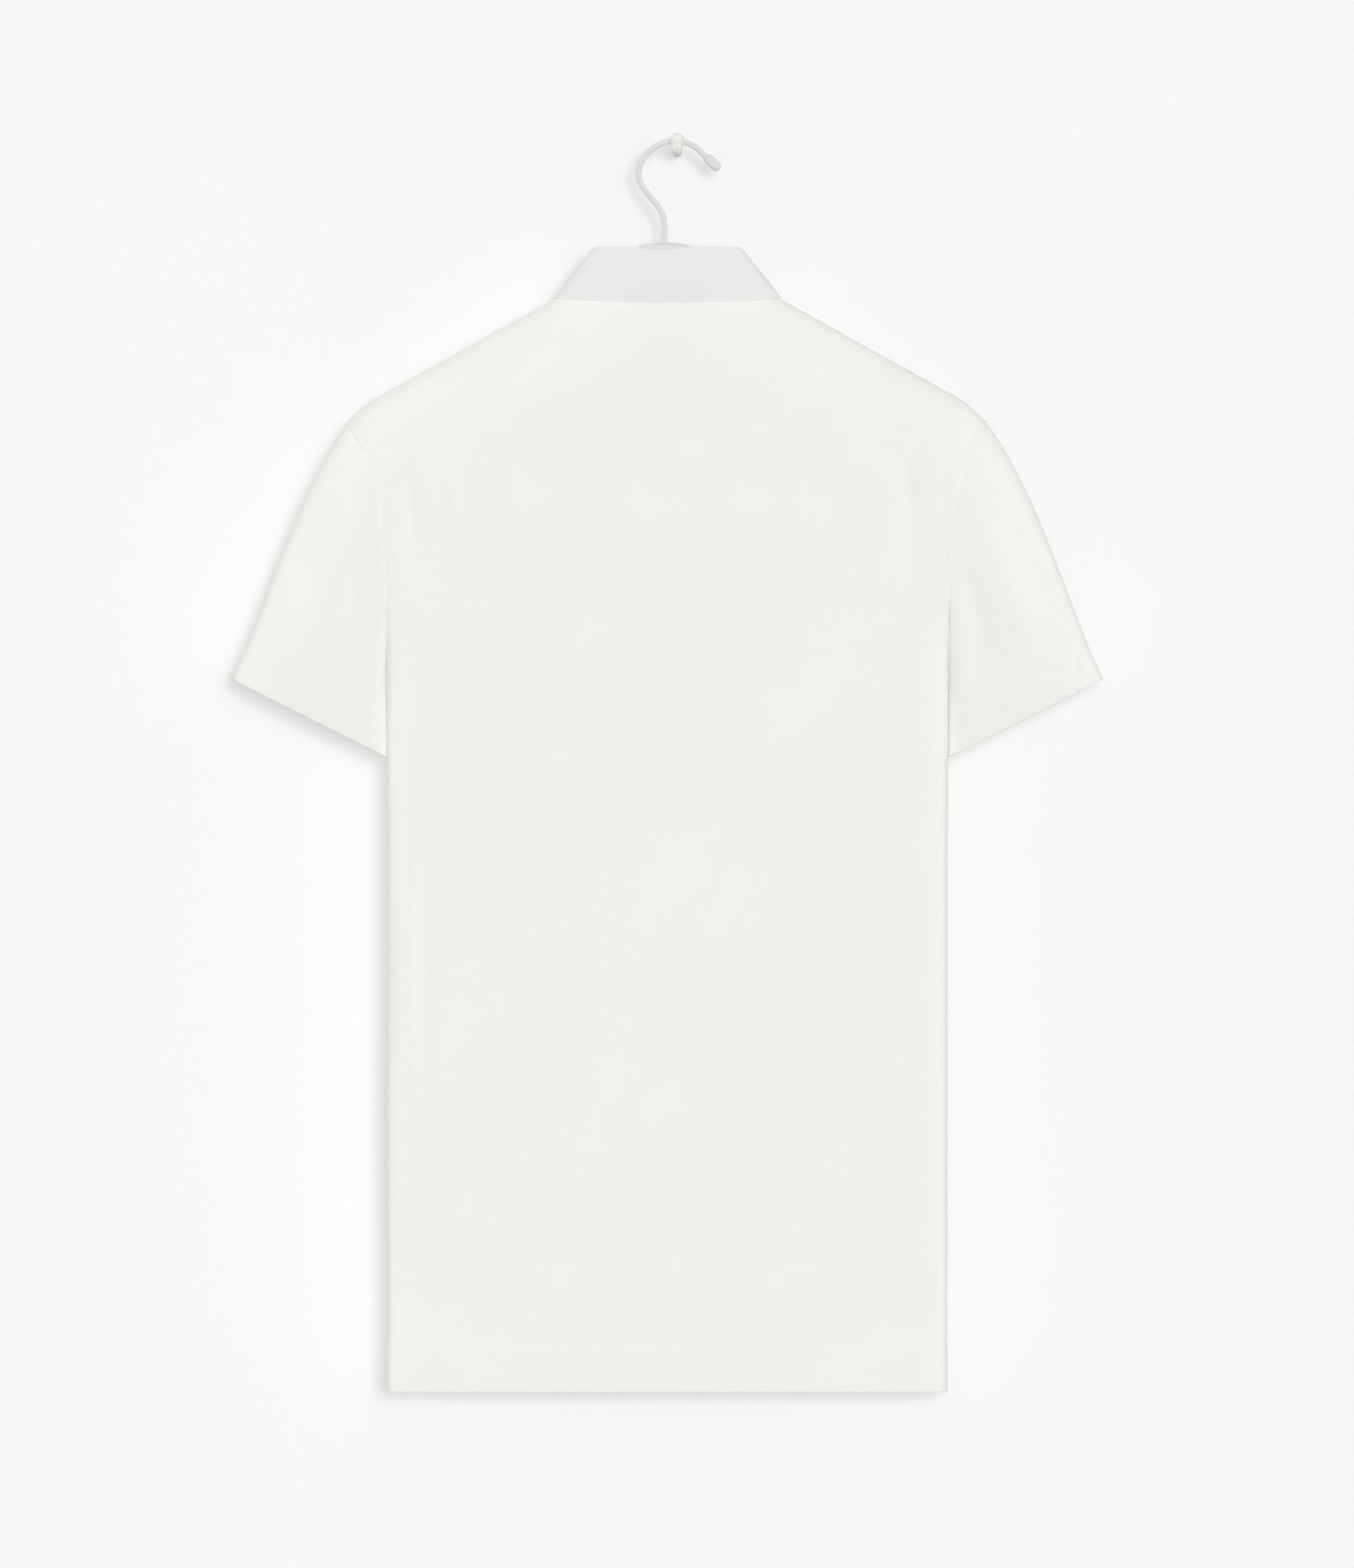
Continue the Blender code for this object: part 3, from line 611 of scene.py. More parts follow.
def finish_cloth(name, cloth, sizes, material, doubled=None, layers=1.0):
    """Makes the piece, gives it its linen and lets it stand for its node."""
    thickness = sizes.cloth * (2 if doubled is not None else layers)
    piece = grid_object(name, cloth, material, thickness, doubled)
    CLOTHS[name] = cloth
    slot = "collar_linen" if "collar" in name else "linen"
    return carried(piece, slot, name.replace("_cloth", ""))


# How far the back and the fronts sink in under the yoke, and the right front under the left
UNDER_YOKE = 0.0013
UNDER_BAND = 0.0020
TUCKED_UP_BACK = 0.0060
TUCKED_UP_FRONT = 0.0035
# The body's creases die away over the last CREASE_FADE before this distance from the middle
CREASED_TO = 1.08 * BODY_HALF
CREASE_FADE = 0.030


def back_cloth(sizes):
    """The back, from under the yoke's edge to the hem."""
    corner_z = float(armhole_z(armhole_share(YOKE_CORNER_BACK)))
    heights = spaced(
        corner_z,
        (corner_z - 0.030, 0.0018),
        (HEM_Z + sizes.hem + 0.020, 0.0034),
        (HEM_Z, 0.0016),
    )[:, None]
    half = round_shares(0.0023)
    share = np.concatenate([-half[:0:-1], half])[None, :]
    level = np.clip((heights - UNDERARM_Z) / (corner_z - UNDERARM_Z), 0.0, 1.0)
    x = share * edge_x(heights)
    rise = yoke_seam_z(x) - yoke_seam_z(edge_x(corner_z))
    z = heights + rise * level + TUCKED_UP_BACK * ease(0.93, 1.0, level)
    above = z - yoke_seam_z(x)
    cloth = Cloth(on_surface(x, z, -1.0, -UNDER_YOKE * ease(-0.0002, 0.0040, above)))
    away = edge_x(z) - np.abs(x)
    lift = hang(x, z, BACK_CREASES, CREASE_SEED["back"])
    lift = lift * ease(0.0, CREASE_FADE, CREASED_TO - np.abs(x))
    lift += yoke_line(x, -above, sizes) * ease(0.0, 0.004, -above)
    lift += felled(away, z, sizes, 71) + hemmed(z, x, sizes, 81)
    cloth.raise_by(lift)
    hem = np.broadcast_to(1 - ease(-0.0015, 0.0005, z - (HEM_Z + sizes.hem)), z.shape)
    band = (1 - ease(0.005, 0.0065, away)) * ease(UNDERARM_Z - 0.01, UNDERARM_Z, z)
    return cloth, np.maximum(hem, band)


def yoke_columns():
    """Inner and outer ends of the yoke's columns, as (x, root), from the left front round the back."""
    ends = []
    runs = (
        (NECK_SEAM, 90.0, YOKE_CORNER_FRONT, 0.0, 1.0, 26),
        (90.0, NECK_CORNER, 0.0, YOKE_CORNER_BACK, -1.0, 44),
    )
    for neck_from, neck_to, arm_from, arm_to, side, count in runs:
        neck = over_ridge(*neck_point(steps(neck_from, neck_to, count)))
        share = armhole_share(steps(arm_from, arm_to, count))
        arm = over_ridge(armhole_x(share), armhole_z(share), side)
        ends.append(np.stack([*neck, *arm], -1)[:-1])
    neck = over_ridge(*neck_point(steps(NECK_CORNER, 0.0, 92)))
    corner_x = float(armhole_x(armhole_share(YOKE_CORNER_BACK)))
    seam_x = steps(corner_x, 0.0, 92)
    seam = over_ridge(seam_x, yoke_seam_z(seam_x) - 0.0010, -1.0)
    ends.append(np.stack([*neck, *seam], -1))
    half = np.concatenate(ends)
    mirrored = half * np.array([-1.0, 1.0, -1.0, 1.0])
    return np.concatenate([mirrored, half[-2::-1]])


YOKE_EDGE_RAISED = 0.0002
YOKE_SEAM_RAISED = 0.0002


def yoke_cloth(sizes):
    """The yoke, over both shoulders and lapped on the back and the fronts."""
    ends = yoke_columns()
    down = spaced(0.0, (0.80, 1 / 46), (0.9975, 1 / 84), (1.0, 0.0025))[:, None]
    x = mix(ends[None, :, 0], ends[None, :, 2], down)
    root = mix(ends[None, :, 1], ends[None, :, 3], down)
    z = ridge_z(x) - root ** 2
    back = 1 - ease(-0.05, 0.05, root)
    above = z - yoke_seam_z(x)
    across = Cloth(from_ridge(x, root)).across
    from_front = np.minimum(across, across[:, -1:] - across)
    edge = back * (1 - ease(0.001, 0.010, above)) + (1 - ease(0.001, 0.009, from_front)) * (root > 0)
    cloth = Cloth(from_ridge(x, root, YOKE_EDGE_RAISED * edge))
    away = armhole_x(down_armhole(z)) - np.abs(x)
    table = BACK_CREASES + YOKE_CREASES
    lift = hang(x, z, table, CREASE_SEED["back"]) * back
    lift += hang(x, z, FRONT_CREASES, CREASE_SEED["front"]) * (1 - back)
    lift *= ease(0.0, 0.12, np.abs(root)) * 0.85 + 0.15
    lift += yoke_line(x, -above, sizes) * back
    lift += stitched_line("shoulder", from_front - YOKE_SEAM_IN, x, sizes, 67) * (1 - back)
    drawn = stitched_line("yoke_armhole", away - sizes.topstitch, z * 1.1, sizes, 71)
    seam = 1 - ease(sizes.topstitch - 0.0010, sizes.topstitch + 0.0014, away)
    lift += YOKE_SEAM_RAISED * seam + drawn
    cloth.raise_by(lift)
    return cloth


def front_top(x):
    """The height of a front's top edge at x from the middle: the neckline, then the shoulder seam."""
    neck_x, neck_z, _ = (float(value) for value in neck_point(NECK_SEAM))
    forward = np.sqrt(np.clip(1 - (x / NECK_RING_X) ** 2, 0.0, 1.0))
    neckline = mix(NECK_SIDE_Z, NECK_FRONT_Z, forward ** NECK_SCOOP)
    share = armhole_share(YOKE_CORNER_FRONT)
    corner_x = float(armhole_x(share))
    root_neck = math.sqrt(ridge_z(neck_x) - neck_z)
    root_arm = math.sqrt(ridge_z(corner_x) - armhole_z(share))
    along = np.clip((x - neck_x) / (corner_x - neck_x), 0.0, 1.0)
    seam = ridge_z(x) - mix(root_neck, root_arm, along) ** 2
    return np.where(x < neck_x, neckline, seam)


def front_cloth(sign, under, sizes):
    """One front, from the neckline and shoulder seam to the hem, on the side that sign gives."""
    corner_z = float(armhole_z(armhole_share(YOKE_CORNER_FRONT)))
    heights = spaced(
        corner_z, (UNDERARM_Z, 0.0034), (HEM_Z + sizes.hem + 0.020, 0.0040), (HEM_Z, 0.0017)
    )[:, None]
    share = np.concatenate([steps(-LAP / BODY_HALF, 0.0, 6)[:-1], round_shares(0.0027)])[None, :]
    share = (share + LAP / BODY_HALF) / (1 + LAP / BODY_HALF)
    corner_x = float(edge_x(corner_z))
    top_x = mix(-LAP, corner_x, share)
    level = np.clip((corner_z - heights) / (corner_z - UNDERARM_Z), 0.0, 1.0)
    x = mix(-LAP, edge_x(heights), share)
    tucked_from = NECK_RING_X * 0.93
    seam = np.where(top_x > tucked_from, TUCKED_UP_FRONT, 0.0)
    z = np.where(level < 1, mix(front_top(top_x) + seam, UNDERARM_Z, level), heights)
    sunk = UNDER_BAND * under * (1 - ease(-LAP, 0.030, x))
    sunk = sunk + UNDER_YOKE * ease(-0.0030, 0.0015, z - front_top(x)) * (x > tucked_from)
    points = on_surface(sign * x, z, 1.0, -sunk)
    away = edge_x(z) - x
    if sign > 0:
        points, x, z, away = (value[:, ::-1] for value in (points, x, z, away))
    cloth = Cloth(points)
    lift = hang(sign * x, z, FRONT_CREASES, CREASE_SEED["front"])
    lift *= ease(0.0, CREASE_FADE, CREASED_TO - x) * ease(-0.010, 0.050, x)
    lift += felled(away, z, sizes, 73) + hemmed(z, sign * x, sizes, 85) * ease(0.010, 0.022, x)
    cloth.raise_by(lift)
    hem = 1 - ease(-0.0015, 0.0005, z - (HEM_Z + sizes.hem))
    return cloth, hem


BAND_WAVINESS = 0.00035
BAND_EDGE_ROUNDED = 0.0004


def band_cloth(sizes):
    """The buttonhole band on the left front's edge, stitched near both its edges."""
    top_z, low_z = BAND_BOX[1][2], BAND_BOX[0][2]
    heights = spaced(top_z, (low_z, 0.0026))[:, None]
    x = np.concatenate([steps(BAND_HALF, -BAND_HALF, 26)])[None, :] + 0 * heights
    z = heights + 0 * x
    cloth = Cloth(on_surface(x, z, 1.0, LAYER + 0.0002))
    lift = 0 * x
    line = BAND_HALF - BAND_STITCH_IN
    for edge, seed in ((line, 91), (-line, 95)):
        lift += stitched_line("band", np.abs(x - edge), z, sizes, seed)
    lift += BAND_WAVINESS * waves(x, z, 0.060, 97)
    lift -= BAND_EDGE_ROUNDED * ease(BAND_HALF - 0.0008, BAND_HALF, np.abs(x))
    cloth.raise_by(lift)
    return cloth


def sleeve_point(share, side, along):
    """A point of the sleeve: share from its outer to its inner edge, along from armhole to cuff."""
    x, z = armhole_x(share) + 0.0003, armhole_z(share)
    start = points_of(x, side * depth(x - 0.0003, z, side), z)
    chord = np.abs(2 * share - 1)
    square = mix(SLEEVE_SQUARENESS, INNER_SQUARENESS, ease(0.4, 0.6, share))
    cuff_round = (1 - chord ** square) ** (1 / square)
    end_x = mix(CUFF_OUTER[0], CUFF_INNER[0], share)
    end_z = mix(CUFF_OUTER[1], CUFF_INNER[1], share)
    end = points_of(end_x, side * CUFF_REACH * cuff_round, end_z)
    outer = (1 - share) ** 2
    kick = points_of(SLEEVE_KICK_OUT * outer, 0.0, SLEEVE_KICK_UP * outer)
    swell = along * (1 - along) ** 2 * (along > 0)
    return start + (end - start) * along[..., None] + kick * swell[..., None]


# The way along the cuff
CUFF_RUN = (0.893, -0.449)
GATHER_HEIGHT = 0.00055
SLEEVE_SUNK = 0.0005
CUFF_WAVINESS = 0.0008


def sleeve_cloth(name, sign, sizes):
    """A sleeve: a flat tube from under the armhole's edge to its hemmed cuff."""
    angle = steps(0.0, 180.0, 76)
    angles = np.concatenate([angle, angle[-2:0:-1]])
    sides = np.concatenate([np.full(len(angle), -1.0), np.full(len(angle) - 2, 1.0)])
    if sign > 0:
        angles, sides = angles[::-1], sides[::-1]
    alongs = spaced(-0.020, (0.06, 0.008), (0.84, 0.0125), (1.0, 0.0070))[:, None]
    share = armhole_share(angles)[None, :]
    points = sleeve_point(share, sides[None, :], alongs + 0 * share)
    x, z = points[..., 0].copy(), points[..., 2].copy()
    points[..., 0] = SHIRT_X + sign * x
    points[..., 1] += HANGER_Y
    cloth = Cloth(points, closed=True)
    length = cloth.down[-1:, :]
    away = length - cloth.down - sizes.cuff
    round_cuff = x * CUFF_RUN[0] + z * CUFF_RUN[1]
    seed = CREASE_SEED[name]
    side = np.broadcast_to(sides[None, :], x.shape)
    lift = np.where(side < 0, 1.0, -0.6) * CREASE_DEPTH * creases(x, z, SLEEVE_CREASES)
    lift = lift + waviness(x, z, SLEEVE_WAVES, seed)
    lift *= ease(0.0, 0.25, np.minimum(share, 1 - share) * 2)
    eased = cloth.down - cloth.down[:1, :] - 0.004
    gathers = waves(angles[None, :] * sides[None, :] / 180, 0.0, 0.062, seed + 3)
    lift += GATHER_HEIGHT * gathers * hump(eased - 0.008, 0.016) * (share < 0.75)
    lift -= SLEEVE_SUNK * (1 - ease(0.0, 0.004, eased))
    lift += stitched_line("cuff", away, round_cuff, sizes, seed + 5)
    lift += HEM_RAISED * (1 - ease(-0.0020, 0.0002, away))
    lift += CUFF_WAVINESS * waves(round_cuff, 0 * x, 0.045, seed + 8) * (1 - ease(-0.020, 0.012, away))
    cloth.raise_by(lift)
    hem = 1 - ease(-0.0012, 0.0006, away)
    return cloth, hem


def fold_point(degrees):
    """Points of the collar's fold line."""
    angle = np.radians(degrees)
    forward, sine = -np.cos(angle), np.sin(angle)
    x = FOLD_X * np.sign(sine) * np.abs(sine) ** FOLD_CORNER
    back = mix(FOLD_SIDE_Z, FOLD_BACK_Z, np.clip(-forward / FOLD_BACK_RISE, 0.0, 1.0))
    back = back - FOLD_DIP * np.maximum(0.0, 1 - ((SHIRT_X + x - STEM_X) / CAP_HALF) ** 2)
    front = mix(FOLD_SIDE_Z, FOLD_FRONT_Z, np.maximum(0.0, forward))
    reach = np.where(forward < 0, FOLD_BACK_REACH, FOLD_FRONT_REACH)
    z = np.where(forward < 0, back, front)
    return points_of(SHIRT_X + x, HANGER_Y + reach * forward, z)


def outward(degrees):
    """The way out of the flat ring of the neck."""
    angle = np.radians(degrees)
    flatness = (FOLD_BACK_REACH + FOLD_FRONT_REACH) / (2 * FOLD_X)
    return unit(points_of(flatness * np.sin(angle), -np.cos(angle), 0.0))


UP = np.array([0.0, 0.0, 1.0])


def stand_cloth():
    """The band round the neck, its left end lapped over its right end at the front."""
    end = 180 + LAP_ANGLE
    angles = steps(-end, end, 240)
    x, z, side = neck_point(angles)
    foot = on_surface(x, z, side) + 0.0008 * UP - outward(angles) * 0.0004
    lap = -0.55 * LAYER * (angles / 180) ** 5
    share = steps(1.0, 0.0, 20)[:, None, None]
    out = outward(angles)[None]
    top = fold_point(angles) - 0.0010 * UP - 0.0010 * out[0]
    points = mix(foot[None], top[None], share)
    points = points + out * (lap[None, :, None] + 0.0002 * np.sin(math.pi * share))
    cloth = Cloth(points)
    cloth.raise_by(0.00018 * waves(cloth.across, cloth.down, 0.045, 101))
    return cloth


def surface_normal(x, root):
    """The way straight out of the surface at (x, root) pairs."""
    right = from_ridge(x + 0.0005, root) - from_ridge(x - 0.0005, root)
    forward = from_ridge(x, root + 0.002) - from_ridge(x, root - 0.002)
    return unit(np.cross(right, forward))


def leaf_edge(degrees):
    """The collar's outer edge, which lies on the yoke and then on the fronts."""
    turn, sign = np.abs(degrees), np.sign(degrees)
    angle = np.radians(turn)
    back_x = LEAF_SIDE_X * np.sin(angle)
    back_z = mix(ridge_z(LEAF_SIDE_X), LEAF_BACK_Z, np.clip(np.cos(angle), 0.0, 1.0))
    back_root = over_ridge(back_x, back_z, -1.0)[1]
    share = np.clip((turn - 90) / (LEAF_END - 90), 0.0, 1.0)
    front_x = mix(LEAF_SIDE_X, COLLAR_POINT[0], share ** 1.5)
    front_root = float(over_ridge(*COLLAR_POINT, 1.0)[1]) * share
    x = np.where(turn <= 90, back_x, front_x) * sign
    root = np.where(turn <= 90, back_root, front_root)
    return from_ridge(x, root) + surface_normal(x, root) * LEAF_LIFT


# The angle round the neck at which the leaf swells outwards near its edge, and by how much
LEAF_SIDES = 62
LEAF_SIDE_SWELL = 0.0007


def leaf_cloth(sizes):
    """The turned-down collar: a soft roll over the fold, then down to its edge and points."""
    angles = np.concatenate([steps(-LEAF_END, -90, 62), steps(-90, 90, 130)[1:], steps(90, LEAF_END, 62)[1:]])
    out = outward(angles)[None]
    fold = fold_point(angles)[None] + out * LEAF_OFF - 0.0011 * UP
    share = spaced(0.0, (0.993, 1 / 36), (1.0, 0.007))[:, None, None]
    edge = leaf_edge(angles)[None]
    bulge = mix(LEAF_BULGE, LEAF_BULGE_SIDE, np.abs(np.sin(np.radians(angles))) ** 8)[None, :, None]
    fall = mix(fold, edge, share) + out * bulge * np.sin(math.pi * share)
    settled = fall.copy()
    clear = HANGER_Y + depth(fall[..., 0] - SHIRT_X, fall[..., 2], 1.0) + LEAF_LIFT + 0.0004
    held = np.minimum(1.0, share[..., 0] / 0.4)
    settled[..., 1] = np.maximum(fall[..., 1], mix(fall[..., 1], clear, held))
    fall = np.where(np.abs(angles)[None, :, None] > 90, settled, fall)
    turn = np.radians(steps(0.0, 150.0, 7)[::-1])[:-1, None, None]
    roll = fold + out * FOLD_RADIUS * (np.cos(turn) - 1) + UP * FOLD_RADIUS * np.sin(turn)
    cloth = Cloth(np.concatenate([roll, fall]))
    to_edge = cloth.down[-1:, :] - cloth.down
    lift = 0.00028 * waves(cloth.across, cloth.down, 0.060, 111) * ease(0.0, 0.020, to_edge)
    lift += 0.00012 * waves(cloth.across, cloth.down, 0.022, 113)
    beside = hump(np.abs(angles)[None, :] - LEAF_SIDES, 14.0)
    lift += LEAF_SIDE_SWELL * beside * hump(to_edge - 0.012, 0.010)
    lift += stitched_line("collar", to_edge - COLLAR_STITCH_IN, cloth.across, sizes, 115)
    cloth.raise_by(lift)
    return cloth


# Sewing thread

STITCH_RADIUS = 0.00017
STITCH_RISE = 0.00022
STITCH_SUNK = 0.00004
STITCH_SIDES = 5
# Places along one stitch, and how thick it is there
STITCH_SWELL = ((0.0, 0.12), (0.18, 0.85), (0.5, 1.0), (0.82, 0.85), (1.0, 0.12))


def lengths_along(points):
    """Metres from the first of the points to each."""
    gaps = np.linalg.norm(np.diff(points, axis=0), axis=1)
    return np.concatenate([[0], np.cumsum(gaps)])


def spots_along(values, at, lengths):
    """The points or ways of a run at these lengths of it."""
    return np.stack([np.interp(lengths, at, values[:, k]) for k in range(3)], -1)


def stitches(name, runs, pitch, material):
    """Rows of short stitches as one mesh. Each run is points and ways out along a seam."""
    turn = 2 * math.pi * np.arange(STITCH_SIDES) / STITCH_SIDES
    vertices, faces, base = [], [], 0
    for points, out in runs:
        at = lengths_along(points)
        count = int(at[-1] / pitch)
        starts = (np.arange(count) + 0.1) * pitch
        ends = starts + 0.78 * pitch
        first, last = spots_along(points, at, starts), spots_along(points, at, ends)
        up = unit(unit(spots_along(out, at, starts)) + unit(spots_along(out, at, ends)))
        across = np.cross(unit(last - first), up)
        round_it = across[:, None] * np.cos(turn)[:, None] + up[:, None] * np.sin(turn)[:, None]
        for share, swell in STITCH_SWELL:
            middle = mix(first, last, share) + up * (STITCH_RISE * math.sin(math.pi * share) - STITCH_SUNK)
            vertices.append((middle[:, None] + STITCH_RADIUS * swell * round_it).reshape(-1, 3))
        size = count * STITCH_SIDES
        for k in range(len(STITCH_SWELL) - 1):
            lower = base + k * size + np.arange(count) * STITCH_SIDES
            for i in range(STITCH_SIDES):
                j = (i + 1) % STITCH_SIDES
                faces.append(np.stack([lower + i, lower + j, lower + size + j, lower + size + i], -1))
        base += len(STITCH_SWELL) * size
    data = bpy.data.meshes.new(name)
    data.from_pydata(np.concatenate(vertices).tolist(), [], np.concatenate(faces).tolist())
    data.shade_smooth()
    carried(new_object(name, data, material), "linen")


def places_at(lines, metres, from_end):
    """How many steps along each line of lengths it reaches this far from its first or last end."""
    wanted = [line[-1] - metres if from_end else metres for line in lines]
    return np.array([np.interp(want, line, np.arange(len(line))) for want, line in zip(wanted, lines)])


def seam_down(cloth, metres, columns=None):
    """A run along the columns, this far above the cloth's last row."""
    chosen = np.arange(cloth.points.shape[1]) if columns is None else columns
    return cloth.at(places_at(cloth.down.T[chosen], metres, True), chosen.astype(float))


def seam_across(cloth, metres, rows, from_end):
    """A run down the rows, this far in from the cloth's first or last column."""
    return cloth.at(np.array(rows, float), places_at(cloth.across[rows], metres, from_end))


def buttonhole_bars(band):
    """Close crosswise stitches down both edges of each buttonhole, which stands upright on the band."""
    rows_z, columns_x = band.points[:, 0, 2], band.points[0, :, 0]
    runs = []
    for name in BUTTONS[:-1]:
        middle = middle_and_half(name)[0][2]
        for z in steps(middle - BUTTONHOLE_HALF, middle + BUTTONHOLE_HALF, 38):
            row = np.full(2, np.interp(-z, -rows_z, np.arange(len(rows_z))))
            for side in (-1, 1):
                x = SHIRT_X + side * np.array([BUTTONHOLE_SLIT, BUTTONHOLE_SLIT + BUTTONHOLE_BAR])
                runs.append(band.at(row, np.interp(-x, -columns_x, np.arange(len(columns_x)))))
    return runs


# Hard pieces

SHARP_FROM = math.radians(42)


def add_piece(name, mesh, material, slot, *nodes):
    """A hard piece from its bmesh, with its sharp edges kept."""
    data = data_of(mesh, name)
    data.shade_smooth()
    data.set_sharp_from_angle(angle=SHARP_FROM)
    carried(new_object(name, data, material), slot, *nodes)


def skin_rings(mesh, rings):
    """Faces between rings of vertices, and caps on the first and the last."""
    for first, second in zip(rings, rings[1:]):
        for i in range(len(first)):
            j = (i + 1) % len(first)
            mesh.faces.new((first[i], second[i], second[j], first[j]))
    mesh.faces.new(rings[0])
    mesh.faces.new(rings[-1][::-1])
    bmesh.ops.recalc_face_normals(mesh, faces=mesh.faces)


def around(count):
    """Even turns round a circle."""
    return [2 * math.pi * i / count for i in range(count)]


def turned(profile, segments, place):
    """A lathed solid. profile is (radius, height); place turns (radius, turn, height) into a point."""
    mesh = bmesh.new()
    rings = []
    for radius, height in profile:
        rings.append([mesh.verts.new(place(radius, turn, height)) for turn in around(segments)])
    skin_rings(mesh, rings)
    return mesh


def rod(points, radii, sides=24):
    """A round rod that bends in an upright plane."""
    way = unit(np.gradient(points, axis=0))
    mesh = bmesh.new()
    rings = []
    for point, run, radius in zip(points, way, radii):
        up = np.array([-run[2], 0.0, run[0]])
        ways = [math.cos(turn) * up + math.sin(turn) * np.array([0.0, 1.0, 0.0]) for turn in around(sides)]
        rings.append([mesh.verts.new(point + radius * out) for out in ways])
    skin_rings(mesh, rings)
    return mesh


def smooth_route(route, pieces):
    """Points of a smooth curve through the route's own points."""
    padded = np.vstack([route[:1], route, route[-1:]])
    made = []
    for a, b, c, d in zip(padded, padded[1:], padded[2:], padded[3:]):
        for t in np.arange(pieces) / pieces:
            cubic = (3 * b - a - 3 * c + d) * t ** 3
            made.append((2 * b + (c - a) * t + (2 * a - 5 * b + 4 * c - d) * t ** 2 + cubic) / 2)
    return np.array(made + [route[-1]])


# Along the wire from the cap to the tip, as (x, z) in millimetres from the peg
HOOK_ROUTE = (
    (-9, -65.5), (-9, -52.5), (-10.1, -46.5), (-13.6, -40.3), (-18.5, -34.2), (-23.2, -28),
    (-26.3, -22.8), (-27.4, -17), (-26.5, -11.5), (-24, -5.8), (-20.2, -1.4), (-15.3, 2.3), (-10, 4.8),
    (-4, 6.2), (2.2, 6.4), (6.6, 5.2), (10.5, 3.4), (14.2, 1.1), (17.5, -1.8), (20.2, -4.4),
    (30.3, -13.9),
)
WIRE_RADIUS = 0.00205
TIP_RADIUS = 0.0037
TIP_LENGTH = 0.0138
# The end of the tip closes to this radius
TIP_CLOSED = 0.0004


def hook_rod():
    """The bent wire, with a fat dipped tip."""
    route = np.array([(x / 1000, HANGER_Y, z / 1000) for x, z in HOOK_ROUTE])
    points = smooth_route(route, 14)
    at = lengths_along(points)
    tip = at[-1] - TIP_LENGTH
    lengths = np.concatenate([steps(0, tip, 189), tip + TIP_LENGTH * steps(0, 1, 25)[1:]])
    points = spots_along(points, at, lengths)
    share = np.clip((lengths - tip) / TIP_LENGTH, 0.0, 1.0)
    capsule = np.maximum(0.0, 1 - np.abs(2 * share - 1) ** 5.0) ** (1 / 2.2) * TIP_RADIUS
    radii = np.where(lengths < tip, WIRE_RADIUS, np.maximum(capsule, TIP_CLOSED))
    radii = np.where((lengths >= tip) & (share < 0.5), np.maximum(capsule, WIRE_RADIUS), radii)
    return rod(points, radii)


ARM_RADIUS = 0.0046
ARM_END_X = 0.206
# From the shoulder ridge down to the arms' middle line
ARM_OFF = 0.0023 + ARM_RADIUS
ARM_ARCH_HALF = 0.076


def arm_rod():
    """The hanger's arms under the shoulder ridge, arched flat under the cap."""
    x = steps(-ARM_END_X, ARM_END_X, 120)
    slope = SHOULDER_SLOPE + 2 * ROUNDING * np.maximum(0.0, np.abs(x) - ROUND_FROM_X)
    straight = ridge_z(x) - ARM_OFF * np.sqrt(1 + slope ** 2)
    near = np.maximum(0.0, 1 - np.abs(x) / ARM_ARCH_HALF)
    top = ridge_z(0.0) - ARM_OFF * math.sqrt(1 + SHOULDER_SLOPE ** 2)
    z = straight - (top - (CAP_BOX[0][2] - ARM_RADIUS)) * near ** 2
    points = points_of(SHIRT_X + x, HANGER_Y, z)
    end = np.minimum((ARM_END_X - np.abs(x)) / ARM_RADIUS, 1.0)
    return rod(points, ARM_RADIUS * np.sqrt(np.clip(1 - (1 - end) ** 2, 0.06, 1.0)))


# Outlines of turned pieces, as shares of their radius and height
CAP_OUTLINE = [(0.80, 0.0), (0.95, 0.04), (0.99, 0.12), (1.0, 0.24), (1.0, 0.36)]
CAP_OUTLINE += [(math.cos(a), 0.38 + 0.54 * math.sin(a)) for a in np.radians((5, 12, 20, 30, 42, 56, 72))]
CAP_OUTLINE += [(0.17, 0.94), (0.15, 1.0), (0.115, 1.0)]
BUTTON_OUTLINE = (
    (0.70, 0.0), (0.90, 0.06), (0.985, 0.26), (1.0, 0.50), (0.985, 0.76), (0.93, 0.95),
    (0.86, 1.0), (0.78, 0.97), (0.68, 0.80), (0.60, 0.70), (0.30, 0.67), (0.06, 0.66),
)


def cap_mesh():
    """The oval collar the wire stands in: a low dome over a square-sided rim."""
    middle, half = middle_and_half("hanger_cap")

    def place(radius, turn, height):
        spot = np.array([radius * math.cos(turn), radius * math.sin(turn), 2 * height - 1])
        return middle + half * spot

    return turned(CAP_OUTLINE, 64, place)


PEG_SHAFT = 0.0387
PEG_RADIUS = 0.0034
PEG_NECK = 0.0043
PEG_BEND = 0.0038
KNOB_Z = 0.0068
# The shaft's first rings as (reach, radius), and the collar's as (height, radius)
PEG_FOOT = ((0.0, 0.0036), (0.0012, PEG_RADIUS), (PEG_SHAFT * 0.7, PEG_RADIUS))
PEG_COLLAR = ((0.0040, 0.00465), (0.0043, 0.00478))


